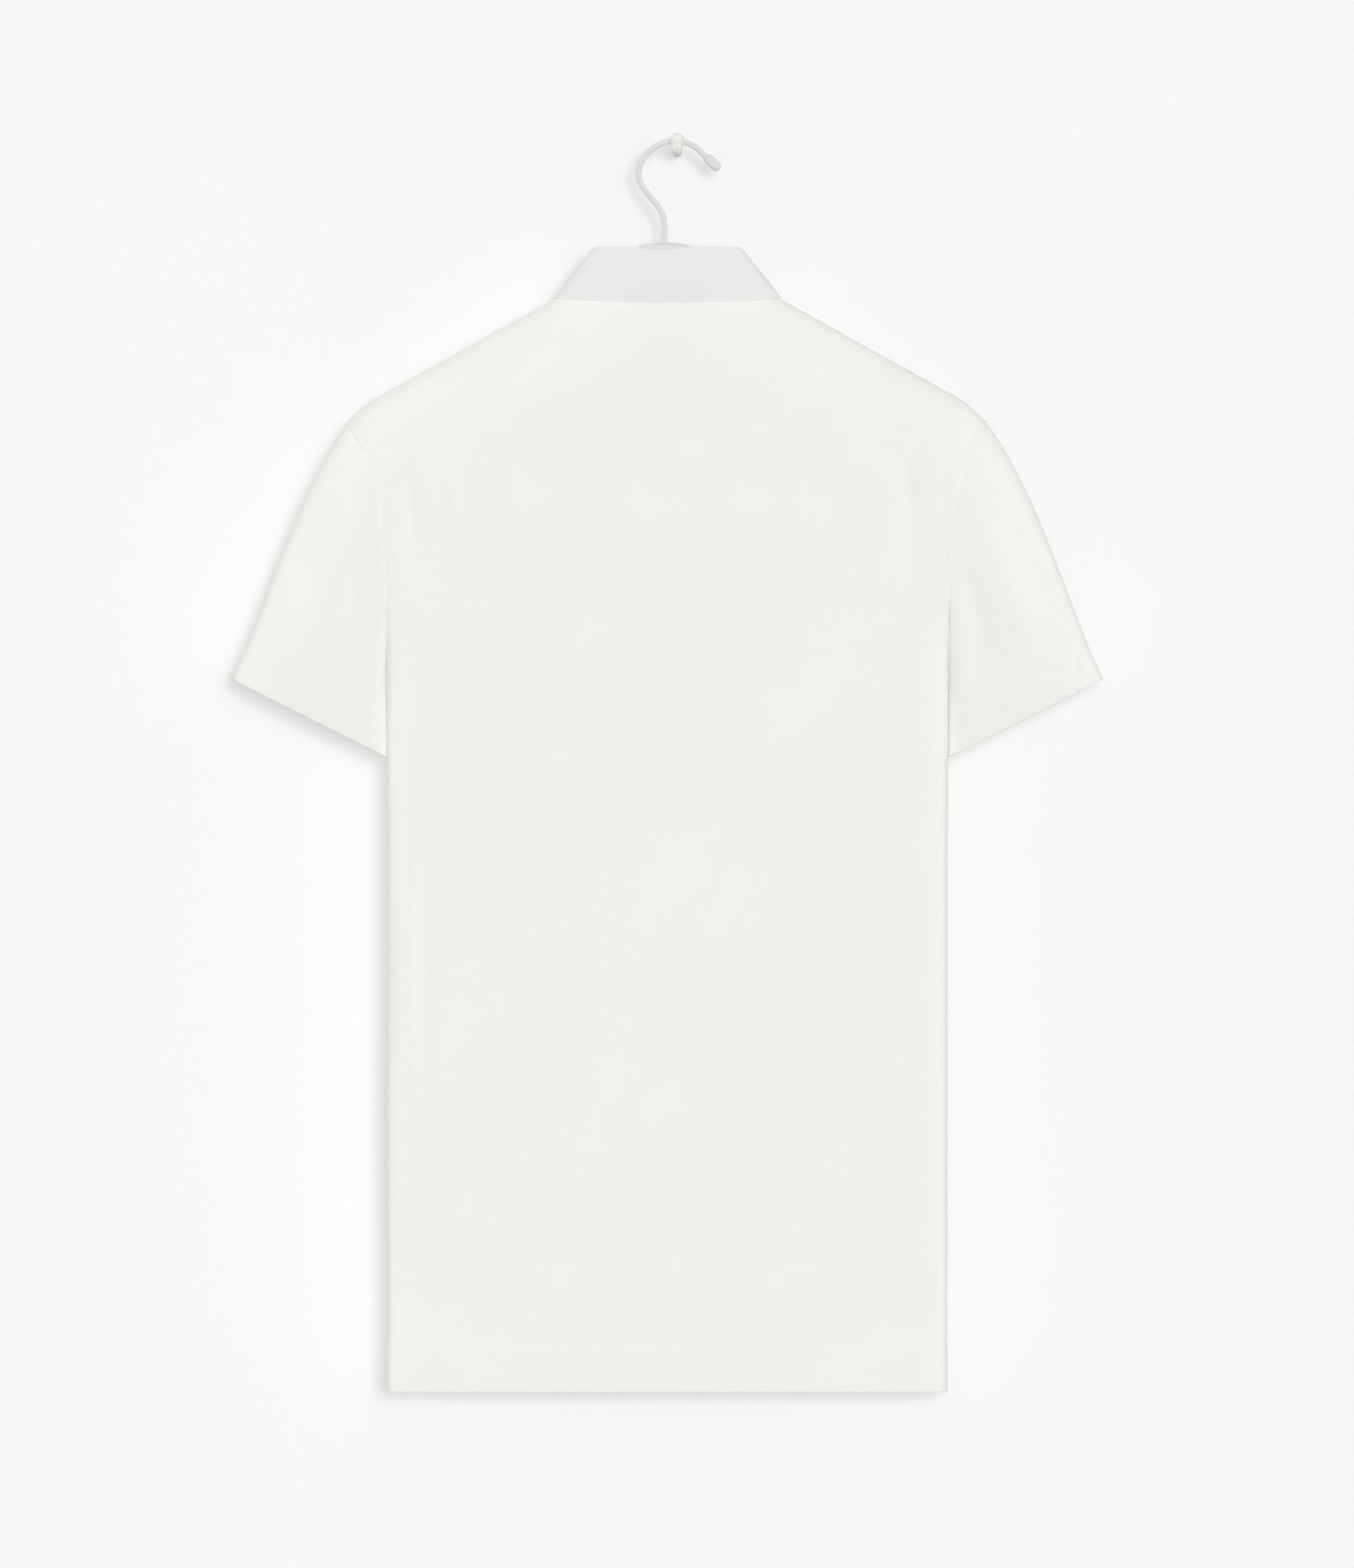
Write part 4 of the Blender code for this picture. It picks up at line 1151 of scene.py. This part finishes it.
def peg_mesh():
    """The painted peg: a shaft that bends up in front of the hook, a ring and a round knob."""
    knob = (PEG_BOX[1][0] - PEG_BOX[0][0]) / 2
    # Each ring is its reach from the wall, height, tilt and radius
    rings = [(reach, 0.0, 0.0, radius) for reach, radius in PEG_FOOT]
    for tilt in np.radians(steps(0.0, 90.0, 12)):
        reach, z = PEG_SHAFT + PEG_BEND * math.sin(tilt), PEG_BEND * (1 - math.cos(tilt))
        rings.append((reach, z, tilt, mix(PEG_RADIUS, PEG_NECK, math.sin(tilt))))
    reach, upright = PEG_SHAFT + PEG_BEND, math.pi / 2
    rings += [(reach, z, upright, radius) for z, radius in PEG_COLLAR]
    for angle in np.radians(np.arange(-22.0, 90.0, 7.0)):
        rings.append((reach, KNOB_Z + knob * math.sin(angle), upright, knob * math.cos(angle)))

    def place(across, turn, ring):
        reach, z, tilt, _ = rings[int(ring)]
        up = across * math.sin(turn)
        return across * math.cos(turn), up * math.sin(tilt) - reach, z + up * math.cos(tilt)

    return turned([(ring[3], i) for i, ring in enumerate(rings)], 48, place)


HOLE_OFF = 0.00135
HOLE_RADIUS = 0.00068
THREAD_RADIUS = 0.00016
THREAD_SPACING = 0.00030
THREAD_ARCH = 0.00055
THREAD_SUNK = 0.0002


def button_mesh(node):
    """One four-hole button, rimmed and dished, its face to the wall."""
    middle, half = middle_and_half(node)

    def place(radius, turn, height):
        spot = np.array([radius * math.cos(turn), 2 * height - 1, radius * math.sin(turn)])
        return middle + half * spot

    blank = new_object("Uncut", data_of(turned(BUTTON_OUTLINE, 48, place), "Uncut"))
    drills = bmesh.new()
    lying = Matrix.Rotation(math.radians(90), 4, "X")
    hole = dict(cap_ends=True, segments=16, radius1=HOLE_RADIUS, radius2=HOLE_RADIUS, depth=8 * half[1])
    for x_sign, z_sign in ((1, 1), (1, -1), (-1, 1), (-1, -1)):
        spot = Vector(middle + HOLE_OFF * np.array([x_sign, 0, z_sign]))
        bmesh.ops.create_cone(drills, matrix=Matrix.Translation(spot) @ lying, **hole)
    drill = new_object("Drills", data_of(drills, "Drills"))
    cut = blank.modifiers.new("Holes", "BOOLEAN")
    cut.operation = "DIFFERENCE"
    cut.solver = "EXACT"
    cut.object = drill
    bpy.context.view_layer.update()
    holed = bmesh.new()
    holed.from_mesh(blank.evaluated_get(bpy.context.evaluated_depsgraph_get()).to_mesh())
    for helper in (blank, drill):
        bpy.data.objects.remove(helper, do_unlink=True)
    return holed


def button_threads():
    """Two bars of three threads over each button's holes."""
    mesh = bmesh.new()
    arc = steps(-1.0, 1.0, 8)
    arch = THREAD_ARCH * (1 - arc ** 4) - THREAD_SUNK
    around_thread = [THREAD_RADIUS * np.array([0.0, math.cos(turn), math.sin(turn)]) for turn in around(6)]
    for name in BUTTONS:
        middle, half = middle_and_half(name)
        face = middle[1] + 0.40 * half[1]
        for beside in (-THREAD_SPACING, 0.0, THREAD_SPACING):
            for bar in (-HOLE_OFF, HOLE_OFF):
                z = middle[2] + bar + beside
                points = points_of(middle[0] + arc * HOLE_OFF, face + arch, z)
                rings = [[mesh.verts.new(point + off) for off in around_thread] for point in points]
                skin_rings(mesh, rings)
    return mesh


# Materials

def linear(code):
    """An sRGB hex colour as linear red, green, blue and alpha."""
    values = [int(code[i : i + 2], 16) / 255 for i in (0, 2, 4)]
    return [v / 12.92 if v <= 0.04045 else ((v + 0.055) / 1.055) ** 2.4 for v in values] + [1.0]


def add_node(tree, kind, links=(), **settings):
    """Adds a node with its settings and links. A setting is a property, or an input by its name."""
    made = tree.nodes.new(kind)
    for key, value in settings.items():
        if hasattr(made, key):
            setattr(made, key, value)
        else:
            made.inputs[key.replace("_", " ")].default_value = value
    for name, source in dict(links).items():
        tree.links.new(source, made.inputs[name])
    return made


def new_material(name, colour, roughness, **settings):
    """A Principled material and its node tree and shader."""
    made = bpy.data.materials.new(name)
    made.use_nodes = True
    shader = made.node_tree.nodes["Principled BSDF"]
    shader.inputs["Base Color"].default_value = linear(colour)
    shader.inputs["Roughness"].default_value = roughness
    for key, value in settings.items():
        shader.inputs[key.replace("_", " ")].default_value = value
    return made, made.node_tree, shader


def colour_and_relief(made, tone, span, colours, height, strength, distance):
    """Runs a material's colour from the first to the second as tone crosses its span, and bumps it."""
    tree = made.node_tree
    shader = tree.nodes["Principled BSDF"]
    share = add_node(tree, "ShaderNodeMapRange", {"Value": tone}, From_Min=span[0], From_Max=span[1])
    tint = add_node(tree, "ShaderNodeMix", {"Factor": share.outputs["Result"]}, data_type="RGBA")
    tint.inputs[6].default_value, tint.inputs[7].default_value = colours
    tree.links.new(tint.outputs[2], shader.inputs["Base Color"])
    bump = add_node(tree, "ShaderNodeBump", {"Height": height}, Strength=strength, Distance=distance)
    tree.links.new(bump.outputs["Normal"], shader.inputs["Normal"])


# Real yarn is about 0.5 mm a thread, too fine to show here, so it is drawn a little coarser
THREAD_PITCH = 0.0007
SLUB_LENGTH = 0.028
SLUB_WIDTH = 0.0011
CLOUD_SIZE = 0.0625
WEAVE_HEIGHT = 0.00018


def woven_linen(name, colour, slub, weave):
    """Plain-weave linen: matt, with thick slubby yarns both ways and a faint cloudiness."""
    made, tree, _ = new_material(name, colour, 0.86, IOR=1.53, Sheen_Weight=0.10, Sheen_Roughness=0.6)
    place = add_node(tree, "ShaderNodeUVMap", uv_map="Threads").outputs["UV"]
    slubs, yarns = [], []
    long, wide = 1 / SLUB_LENGTH, 1 / SLUB_WIDTH
    for axis, size in (("X", (long, wide, 1.0)), ("Y", (wide, long, 1.0))):
        run = add_node(tree, "ShaderNodeMapping", {"Vector": place}, Scale=size).outputs["Vector"]
        noise = add_node(tree, "ShaderNodeTexNoise", {"Vector": run}, Scale=1.0, Detail=2.0)
        slubs.append(noise.outputs["Fac"])
        # A wave texture repeats every pi / (10 x scale), which here is one thread over and one under
        scale = 1 / THREAD_PITCH / 20 * math.pi
        weft = dict(bands_direction=axis, Scale=scale, Distortion=0.6, Detail=1.0)
        yarns.append(add_node(tree, "ShaderNodeTexWave", {"Vector": place}, **weft).outputs["Fac"])
    cloud = add_node(tree, "ShaderNodeTexNoise", {"Vector": place}, Scale=1 / CLOUD_SIZE, Detail=3.0)
    crossed = add_node(tree, "ShaderNodeMath", dict(enumerate(yarns)), operation="MULTIPLY").outputs[0]
    both = add_node(tree, "ShaderNodeMath", dict(enumerate(slubs)), operation="ADD").outputs[0]
    shade = add_node(tree, "ShaderNodeMath", {0: both, 1: cloud.outputs["Fac"]}, operation="ADD")
    relief = add_node(tree, "ShaderNodeMath", {0: crossed, 1: both}, operation="ADD")
    high = linear(colour)
    low = [c * (1 - slub) for c in high[:3]] + [1.0]
    colour_and_relief(
        made, shade.outputs[0], (1.0, 2.0), (low, high), relief.outputs[0], weave, WEAVE_HEIGHT
    )
    return made


def speckled(name, colour, roughness, grain, low, strength, distance, **settings):
    """A hard surface with a fine grain in its colour and height."""
    made, tree, _ = new_material(name, colour, roughness, **settings)
    place = add_node(tree, "ShaderNodeTexCoord").outputs["Object"]
    noise = add_node(
        tree, "ShaderNodeTexNoise", {"Vector": place}, Scale=1 / grain, Detail=4.0, Roughness=0.6
    ).outputs["Fac"]
    colours = linear(low), linear(colour)
    colour_and_relief(made, noise, (0.35, 0.62), colours, noise, strength, distance)
    return made


# Operators, one for each piece or group of like pieces

def linen_for(context):
    name, colour = "washed_plain_weave_linen", context.scene.shirt_colours.linen
    # Matt, off-white and faintly cloudy, with slubs that catch a little light
    return bpy.data.materials.get(name) or woven_linen(name, colour, slub=0.030, weave=0.22)


def thread_for(context):
    name, colour = "spun_polyester_thread", context.scene.shirt_colours.thread
    # Sewing thread has a soft sheen where the cloth has none
    return bpy.data.materials.get(name) or speckled(
        name, colour, roughness=0.55, grain=0.0006, low="E4E4DE", strength=0.2, distance=0.00005
    )


class SHIRT_OT_back(bpy.types.Operator):
    """Makes the back and the yoke"""

    bl_idname = "shirt.back"
    bl_label = "Back and Yoke"

    def execute(self, context):
        sizes = context.scene.shirt_sizes
        linen = linen_for(context)
        cloth, doubled = back_cloth(sizes)
        piece = finish_cloth("back_panel_cloth", cloth, sizes, linen, doubled)
        piece = finish_cloth("back_yoke_cloth", yoke_cloth(sizes), sizes, linen)
        return {"FINISHED"}


class SHIRT_OT_fronts(bpy.types.Operator):
    """Makes both fronts and the buttonhole band"""

    bl_idname = "shirt.fronts"
    bl_label = "Fronts"

    def execute(self, context):
        sizes = context.scene.shirt_sizes
        linen = linen_for(context)
        for name, sign, under in (("front_left_cloth", -1, 0), ("front_right_cloth", 1, 1)):
            cloth, doubled = front_cloth(sign, under, sizes)
            piece = finish_cloth(name, cloth, sizes, linen, doubled)
        piece = finish_cloth("front_placket_cloth", band_cloth(sizes), sizes, linen)
        return {"FINISHED"}


class SHIRT_OT_sleeves(bpy.types.Operator):
    """Makes both sleeves"""

    bl_idname = "shirt.sleeves"
    bl_label = "Sleeves"

    def execute(self, context):
        sizes = context.scene.shirt_sizes
        for name, sign in (("sleeve_left", -1), ("sleeve_right", 1)):
            cloth, doubled = sleeve_cloth(name, sign, sizes)
            piece = finish_cloth(name + "_cloth", cloth, sizes, linen_for(context), doubled)
        return {"FINISHED"}


class SHIRT_OT_collar(bpy.types.Operator):
    """Makes the collar stand and the turned-down collar"""

    bl_idname = "shirt.collar"
    bl_label = "Collar"

    def execute(self, context):
        sizes = context.scene.shirt_sizes
        colour = context.scene.shirt_colours.collar
        # The same linen on a stiff fused interlining: flatter, and a little cooler in tone
        linen = woven_linen("fused_collar_linen", colour, slub=0.022, weave=0.16)
        piece = finish_cloth("collar_stand_cloth", stand_cloth(), sizes, linen, layers=1.4)
        piece = finish_cloth("collar_leaf_cloth", leaf_cloth(sizes), sizes, linen, layers=1.5)
        return {"FINISHED"}


class SHIRT_OT_buttons(bpy.types.Operator):
    """Makes the buttons and the thread that holds them"""

    bl_idname = "shirt.buttons"
    bl_label = "Buttons"

    def execute(self, context):
        colour = context.scene.shirt_colours.button
        # Cast polyester: milky and glossy, with a faint pearl cloud
        resin = speckled(
            "cast_polyester_resin", colour, roughness=0.22, grain=0.0035, low="E3E0D6", strength=0.03,
            distance=0.0001, IOR=1.56, Coat_Weight=0.3, Coat_Roughness=0.12,
        )
        for name in BUTTONS:
            add_piece(name + "_drilled", button_mesh(name), resin, "button", name)
        add_piece("button_sewing", button_threads(), thread_for(context), "button")
        return {"FINISHED"}


class SHIRT_OT_stitching(bpy.types.Operator):
    """Sews the rows of stitches that show"""

    bl_idname = "shirt.stitching"
    bl_label = "Stitching"

    def execute(self, context):
        sizes = context.scene.shirt_sizes
        back, yoke, left, right, leaf, band, *sleeves = (
            CLOTHS[name + "_cloth"]
            for name in (
                "back_panel", "back_yoke", "front_left", "front_right",
                "collar_leaf", "front_placket", "sleeve_left", "sleeve_right",
            )
        )
        columns = np.arange(yoke.points.shape[1])
        over_arms = columns[:SEAM_COLUMN], columns[-SEAM_COLUMN:]
        yoke_rows = np.arange(4, len(yoke.points) - 2)
        yoke_runs = [seam_down(yoke, YOKE_SEAM_IN, columns[SEAM_COLUMN:-SEAM_COLUMN])]
        yoke_runs += [seam_across(yoke, YOKE_SEAM_IN, yoke_rows, from_end) for from_end in (False, True)]
        yoke_runs += [seam_down(yoke, sizes.topstitch, side) for side in over_arms]
        armholes = []
        for cloth, from_end in ((back, False), (back, True), (left, True), (right, False)):
            held = [i for i in range(4, len(cloth.points)) if cloth.points[i, 0, 2] > UNDERARM_Z - 0.01]
            armholes.append(seam_across(cloth, sizes.topstitch, held, from_end))
        band_rows = np.arange(2, len(band.points) - 2)
        band_runs = [seam_across(band, BAND_STITCH_IN, band_rows, from_end) for from_end in (False, True)]
        rows = {
            "hem": [seam_down(cloth, sizes.hem) for cloth in (back, left, right)],
            "yoke": yoke_runs,
            "armhole": armholes,
            "sleeve_hem": [seam_down(cloth, sizes.cuff) for cloth in sleeves],
            "collar": [seam_down(leaf, COLLAR_STITCH_IN)],
            "band": band_runs,
            "buttonhole": buttonhole_bars(band),
        }
        for name, runs in rows.items():
            pitch = 0.98 * BUTTONHOLE_BAR if name == "buttonhole" else sizes.stitch
            stitches(name + "_stitches", runs, pitch, thread_for(context))
        return {"FINISHED"}


class SHIRT_OT_hanger(bpy.types.Operator):
    """Makes the hanger's bar, its cap and its wire hook"""

    bl_idname = "shirt.hanger"
    bl_label = "Hanger"

    def execute(self, context):
        colours = context.scene.shirt_colours
        # Injection-moulded polypropylene: satin, with the faint bloom of the mould
        plastic = speckled(
            "moulded_polypropylene", colours.hanger, roughness=0.60, grain=0.0030, low="DEDEDD",
            strength=0.05, distance=0.0001, IOR=1.49,
        )
        # Wire dipped in PVC: smooth, thick and softly glossy
        dipped = speckled(
            "dipped_pvc_coating", colours.wire, roughness=0.65, grain=0.0050, low="DBDBDB",
            strength=0.05, distance=0.0002, IOR=1.53,
        )
        add_piece("hanger_bar", arm_rod(), plastic, "hanger", "hanger_arms")
        add_piece("hanger_neck_cap", cap_mesh(), plastic, "hanger", "hanger_cap")
        add_piece("hanger_wire_hook", hook_rod(), dipped, "hook_wire", "hanger_hook")
        return {"FINISHED"}


class SHIRT_OT_peg(bpy.types.Operator):
    """Makes the wall peg"""

    bl_idname = "shirt.peg"
    bl_label = "Wall Peg"

    def execute(self, context):
        colour = context.scene.shirt_colours.peg
        # Emulsion brushed over the peg with the wall: chalky, speckled and a little lumpy
        paint = speckled(
            "brushed_emulsion_paint", colour, roughness=0.70, grain=0.0011, low="DADAD5",
            strength=0.55, distance=0.0005, IOR=1.5,
        )
        add_piece("wall_peg_painted", peg_mesh(), paint, "peg_paint", "wall_peg")
        return {"FINISHED"}


def stage_plane(name, size, place, turn, material):
    """A flat rectangle of the stage."""
    mesh = bmesh.new()
    bmesh.ops.create_grid(mesh, x_segments=1, y_segments=1, size=0.5)
    plane = new_object(name, data_of(mesh, name), material)
    plane.scale = (*size, 1.0)
    plane.rotation_euler = turn
    plane.location = place
    return plane


def surround_dome(name, radius, material):
    """A plain pale dome far round the stage."""
    mesh = bmesh.new()
    bmesh.ops.create_uvsphere(mesh, u_segments=32, v_segments=16, radius=radius)
    bmesh.ops.reverse_faces(mesh, faces=mesh.faces)
    dome = new_object(name, data_of(mesh, name), material)
    return dome


Lamp = namedtuple("Lamp", "name right up strength softness shadows")
LAMPS = (
    Lamp("key", 8.0, 5.4, 0.79, 15.0, True),
    Lamp("side_fill", 22.0, 3.0, 0.925, 30.0, False),
    Lamp("left_rim", -85.0, 8.0, 0.50, 20.0, False),
    Lamp("right_rim", 85.0, 8.0, 0.15, 20.0, False),
    Lamp("left_edge", -88.0, 8.0, 0.50, 20.0, True),
    Lamp("right_edge", 88.0, 8.0, 0.15, 20.0, True),
    Lamp("top_rim", 0.0, 85.0, 0.42, 20.0, False),
    Lamp("floor_bounce", 0.0, -80.0, 0.35, 40.0, False),
    Lamp("rear", 208.0, 30.0, 0.29, 14.0, True),
)


def distant_lamp(lamp, collection):
    """A far soft lamp, at angles to the right and up from straight in front of the back."""
    data = bpy.data.lights.new(lamp.name, "SUN")
    data.energy = lamp.strength
    data.angle = math.radians(lamp.softness)
    data.use_shadow = lamp.shadows
    right, up = math.radians(lamp.right), math.radians(lamp.up)
    towards = Vector((math.sin(right) * math.cos(up), -math.cos(right) * math.cos(up), math.sin(up)))
    light = bpy.data.objects.new(lamp.name, data)
    light.location = towards * 4
    light.rotation_euler = towards.to_track_quat("Z", "Y").to_euler()
    collection.objects.link(light)


AIR_STRENGTH = 0.413
FLOOR_GLOW = 0.75
SURROUND_GLOW = 0.72
WALL_SIZE = (40.0, 12.0)
WALL_MIDDLE = (0, 0.0003, 4.64)
FLOOR_SIZE = (40.0, 40.0)
FLOOR_MIDDLE = (0, -1.5, -1.36)
SURROUND_RADIUS = 18.0
CAMERA_PLACE = (0.0, -10.05, -0.452)
CAMERA_LENS = 322.5


def glowing(name, colour, roughness, glow):
    """A pale surface that gives off some of its own colour."""
    made, _, shader = new_material(name, colour, roughness)
    shader.inputs["Emission Color"].default_value = linear(colour)
    shader.inputs["Emission Strength"].default_value = glow
    return made


class SHIRT_OT_stage(bpy.types.Operator):
    """Makes the wall, the floor, the lights and the camera"""

    bl_idname = "shirt.stage"
    bl_label = "Stage"

    def execute(self, context):
        scene = context.scene
        paint, tree, shader = new_material("matt_wall_emulsion", scene.shirt_colours.wall, 0.95)
        shader.inputs["Specular IOR Level"].default_value = 0.1
        clear = add_node(tree, "ShaderNodeBsdfTransparent")
        facing = add_node(tree, "ShaderNodeNewGeometry")
        one_sided = add_node(
            tree,
            "ShaderNodeMixShader",
            {0: facing.outputs["Backfacing"], 1: shader.outputs["BSDF"], 2: clear.outputs["BSDF"]},
        )
        tree.links.new(one_sided.outputs["Shader"], tree.nodes["Material Output"].inputs["Surface"])
        wall = stage_plane("studio_wall", WALL_SIZE, WALL_MIDDLE, (math.radians(90), 0, 0), paint)
        wall.visible_shadow = False
        wall.visible_diffuse = False
        floor_paint = glowing("pale_floor", "F2F2F0", 0.8, FLOOR_GLOW)
        floor = stage_plane("studio_floor", FLOOR_SIZE, FLOOR_MIDDLE, (0, 0, 0), floor_paint)
        sky_paint = glowing("pale_studio_surround", "F4F5F6", 1.0, SURROUND_GLOW)
        surround = surround_dome("studio_surround", SURROUND_RADIUS, sky_paint)
        for unseen in (floor, surround):
            unseen.visible_diffuse = False
            unseen.visible_glossy = False
            unseen.visible_shadow = False
        for lamp in LAMPS:
            distant_lamp(lamp, scene.collection)
        world = bpy.data.worlds.new("studio_air")
        world.use_nodes = True
        world.node_tree.nodes["Background"].inputs["Color"].default_value = linear("FFFFFF")
        world.node_tree.nodes["Background"].inputs["Strength"].default_value = AIR_STRENGTH
        scene.world = world
        scene.view_settings.view_transform = "Standard"
        camera_data = bpy.data.cameras.new("camera")
        camera_data.lens = CAMERA_LENS
        camera = bpy.data.objects.new("camera", camera_data)
        camera.location = CAMERA_PLACE
        camera.rotation_euler = (math.radians(90), 0, 0)
        scene.collection.objects.link(camera)
        scene.camera = camera
        return {"FINISHED"}


class SHIRT_PT_build(bpy.types.Panel):
    """Lists the pieces of the shirt"""

    bl_label = "Linen Shirt"
    bl_space_type = "VIEW_3D"
    bl_region_type = "UI"
    bl_category = "Shirt"

    def draw(self, context):
        for key in ShirtSizes.__annotations__:
            self.layout.prop(context.scene.shirt_sizes, key)
        for key in ShirtColours.__annotations__:
            self.layout.prop(context.scene.shirt_colours, key)
        for maker in OPERATORS:
            self.layout.operator(maker.bl_idname)


OPERATORS = (
    SHIRT_OT_hanger,
    SHIRT_OT_peg,
    SHIRT_OT_back,
    SHIRT_OT_fronts,
    SHIRT_OT_sleeves,
    SHIRT_OT_collar,
    SHIRT_OT_buttons,
    SHIRT_OT_stitching,
    SHIRT_OT_stage,
)
CLASSES = (ShirtSizes, ShirtColours, *OPERATORS, SHIRT_PT_build)


def register():
    for made in CLASSES:
        bpy.utils.register_class(made)
    bpy.types.Scene.shirt_sizes = bpy.props.PointerProperty(type=ShirtSizes)
    bpy.types.Scene.shirt_colours = bpy.props.PointerProperty(type=ShirtColours)


def unregister():
    del bpy.types.Scene.shirt_colours
    del bpy.types.Scene.shirt_sizes
    for made in reversed(CLASSES):
        bpy.utils.unregister_class(made)


def main():
    register()
    for maker in OPERATORS:
        group, name = maker.bl_idname.split(".")
        getattr(getattr(bpy.ops, group), name)()


if __name__ == "__main__":
    main()
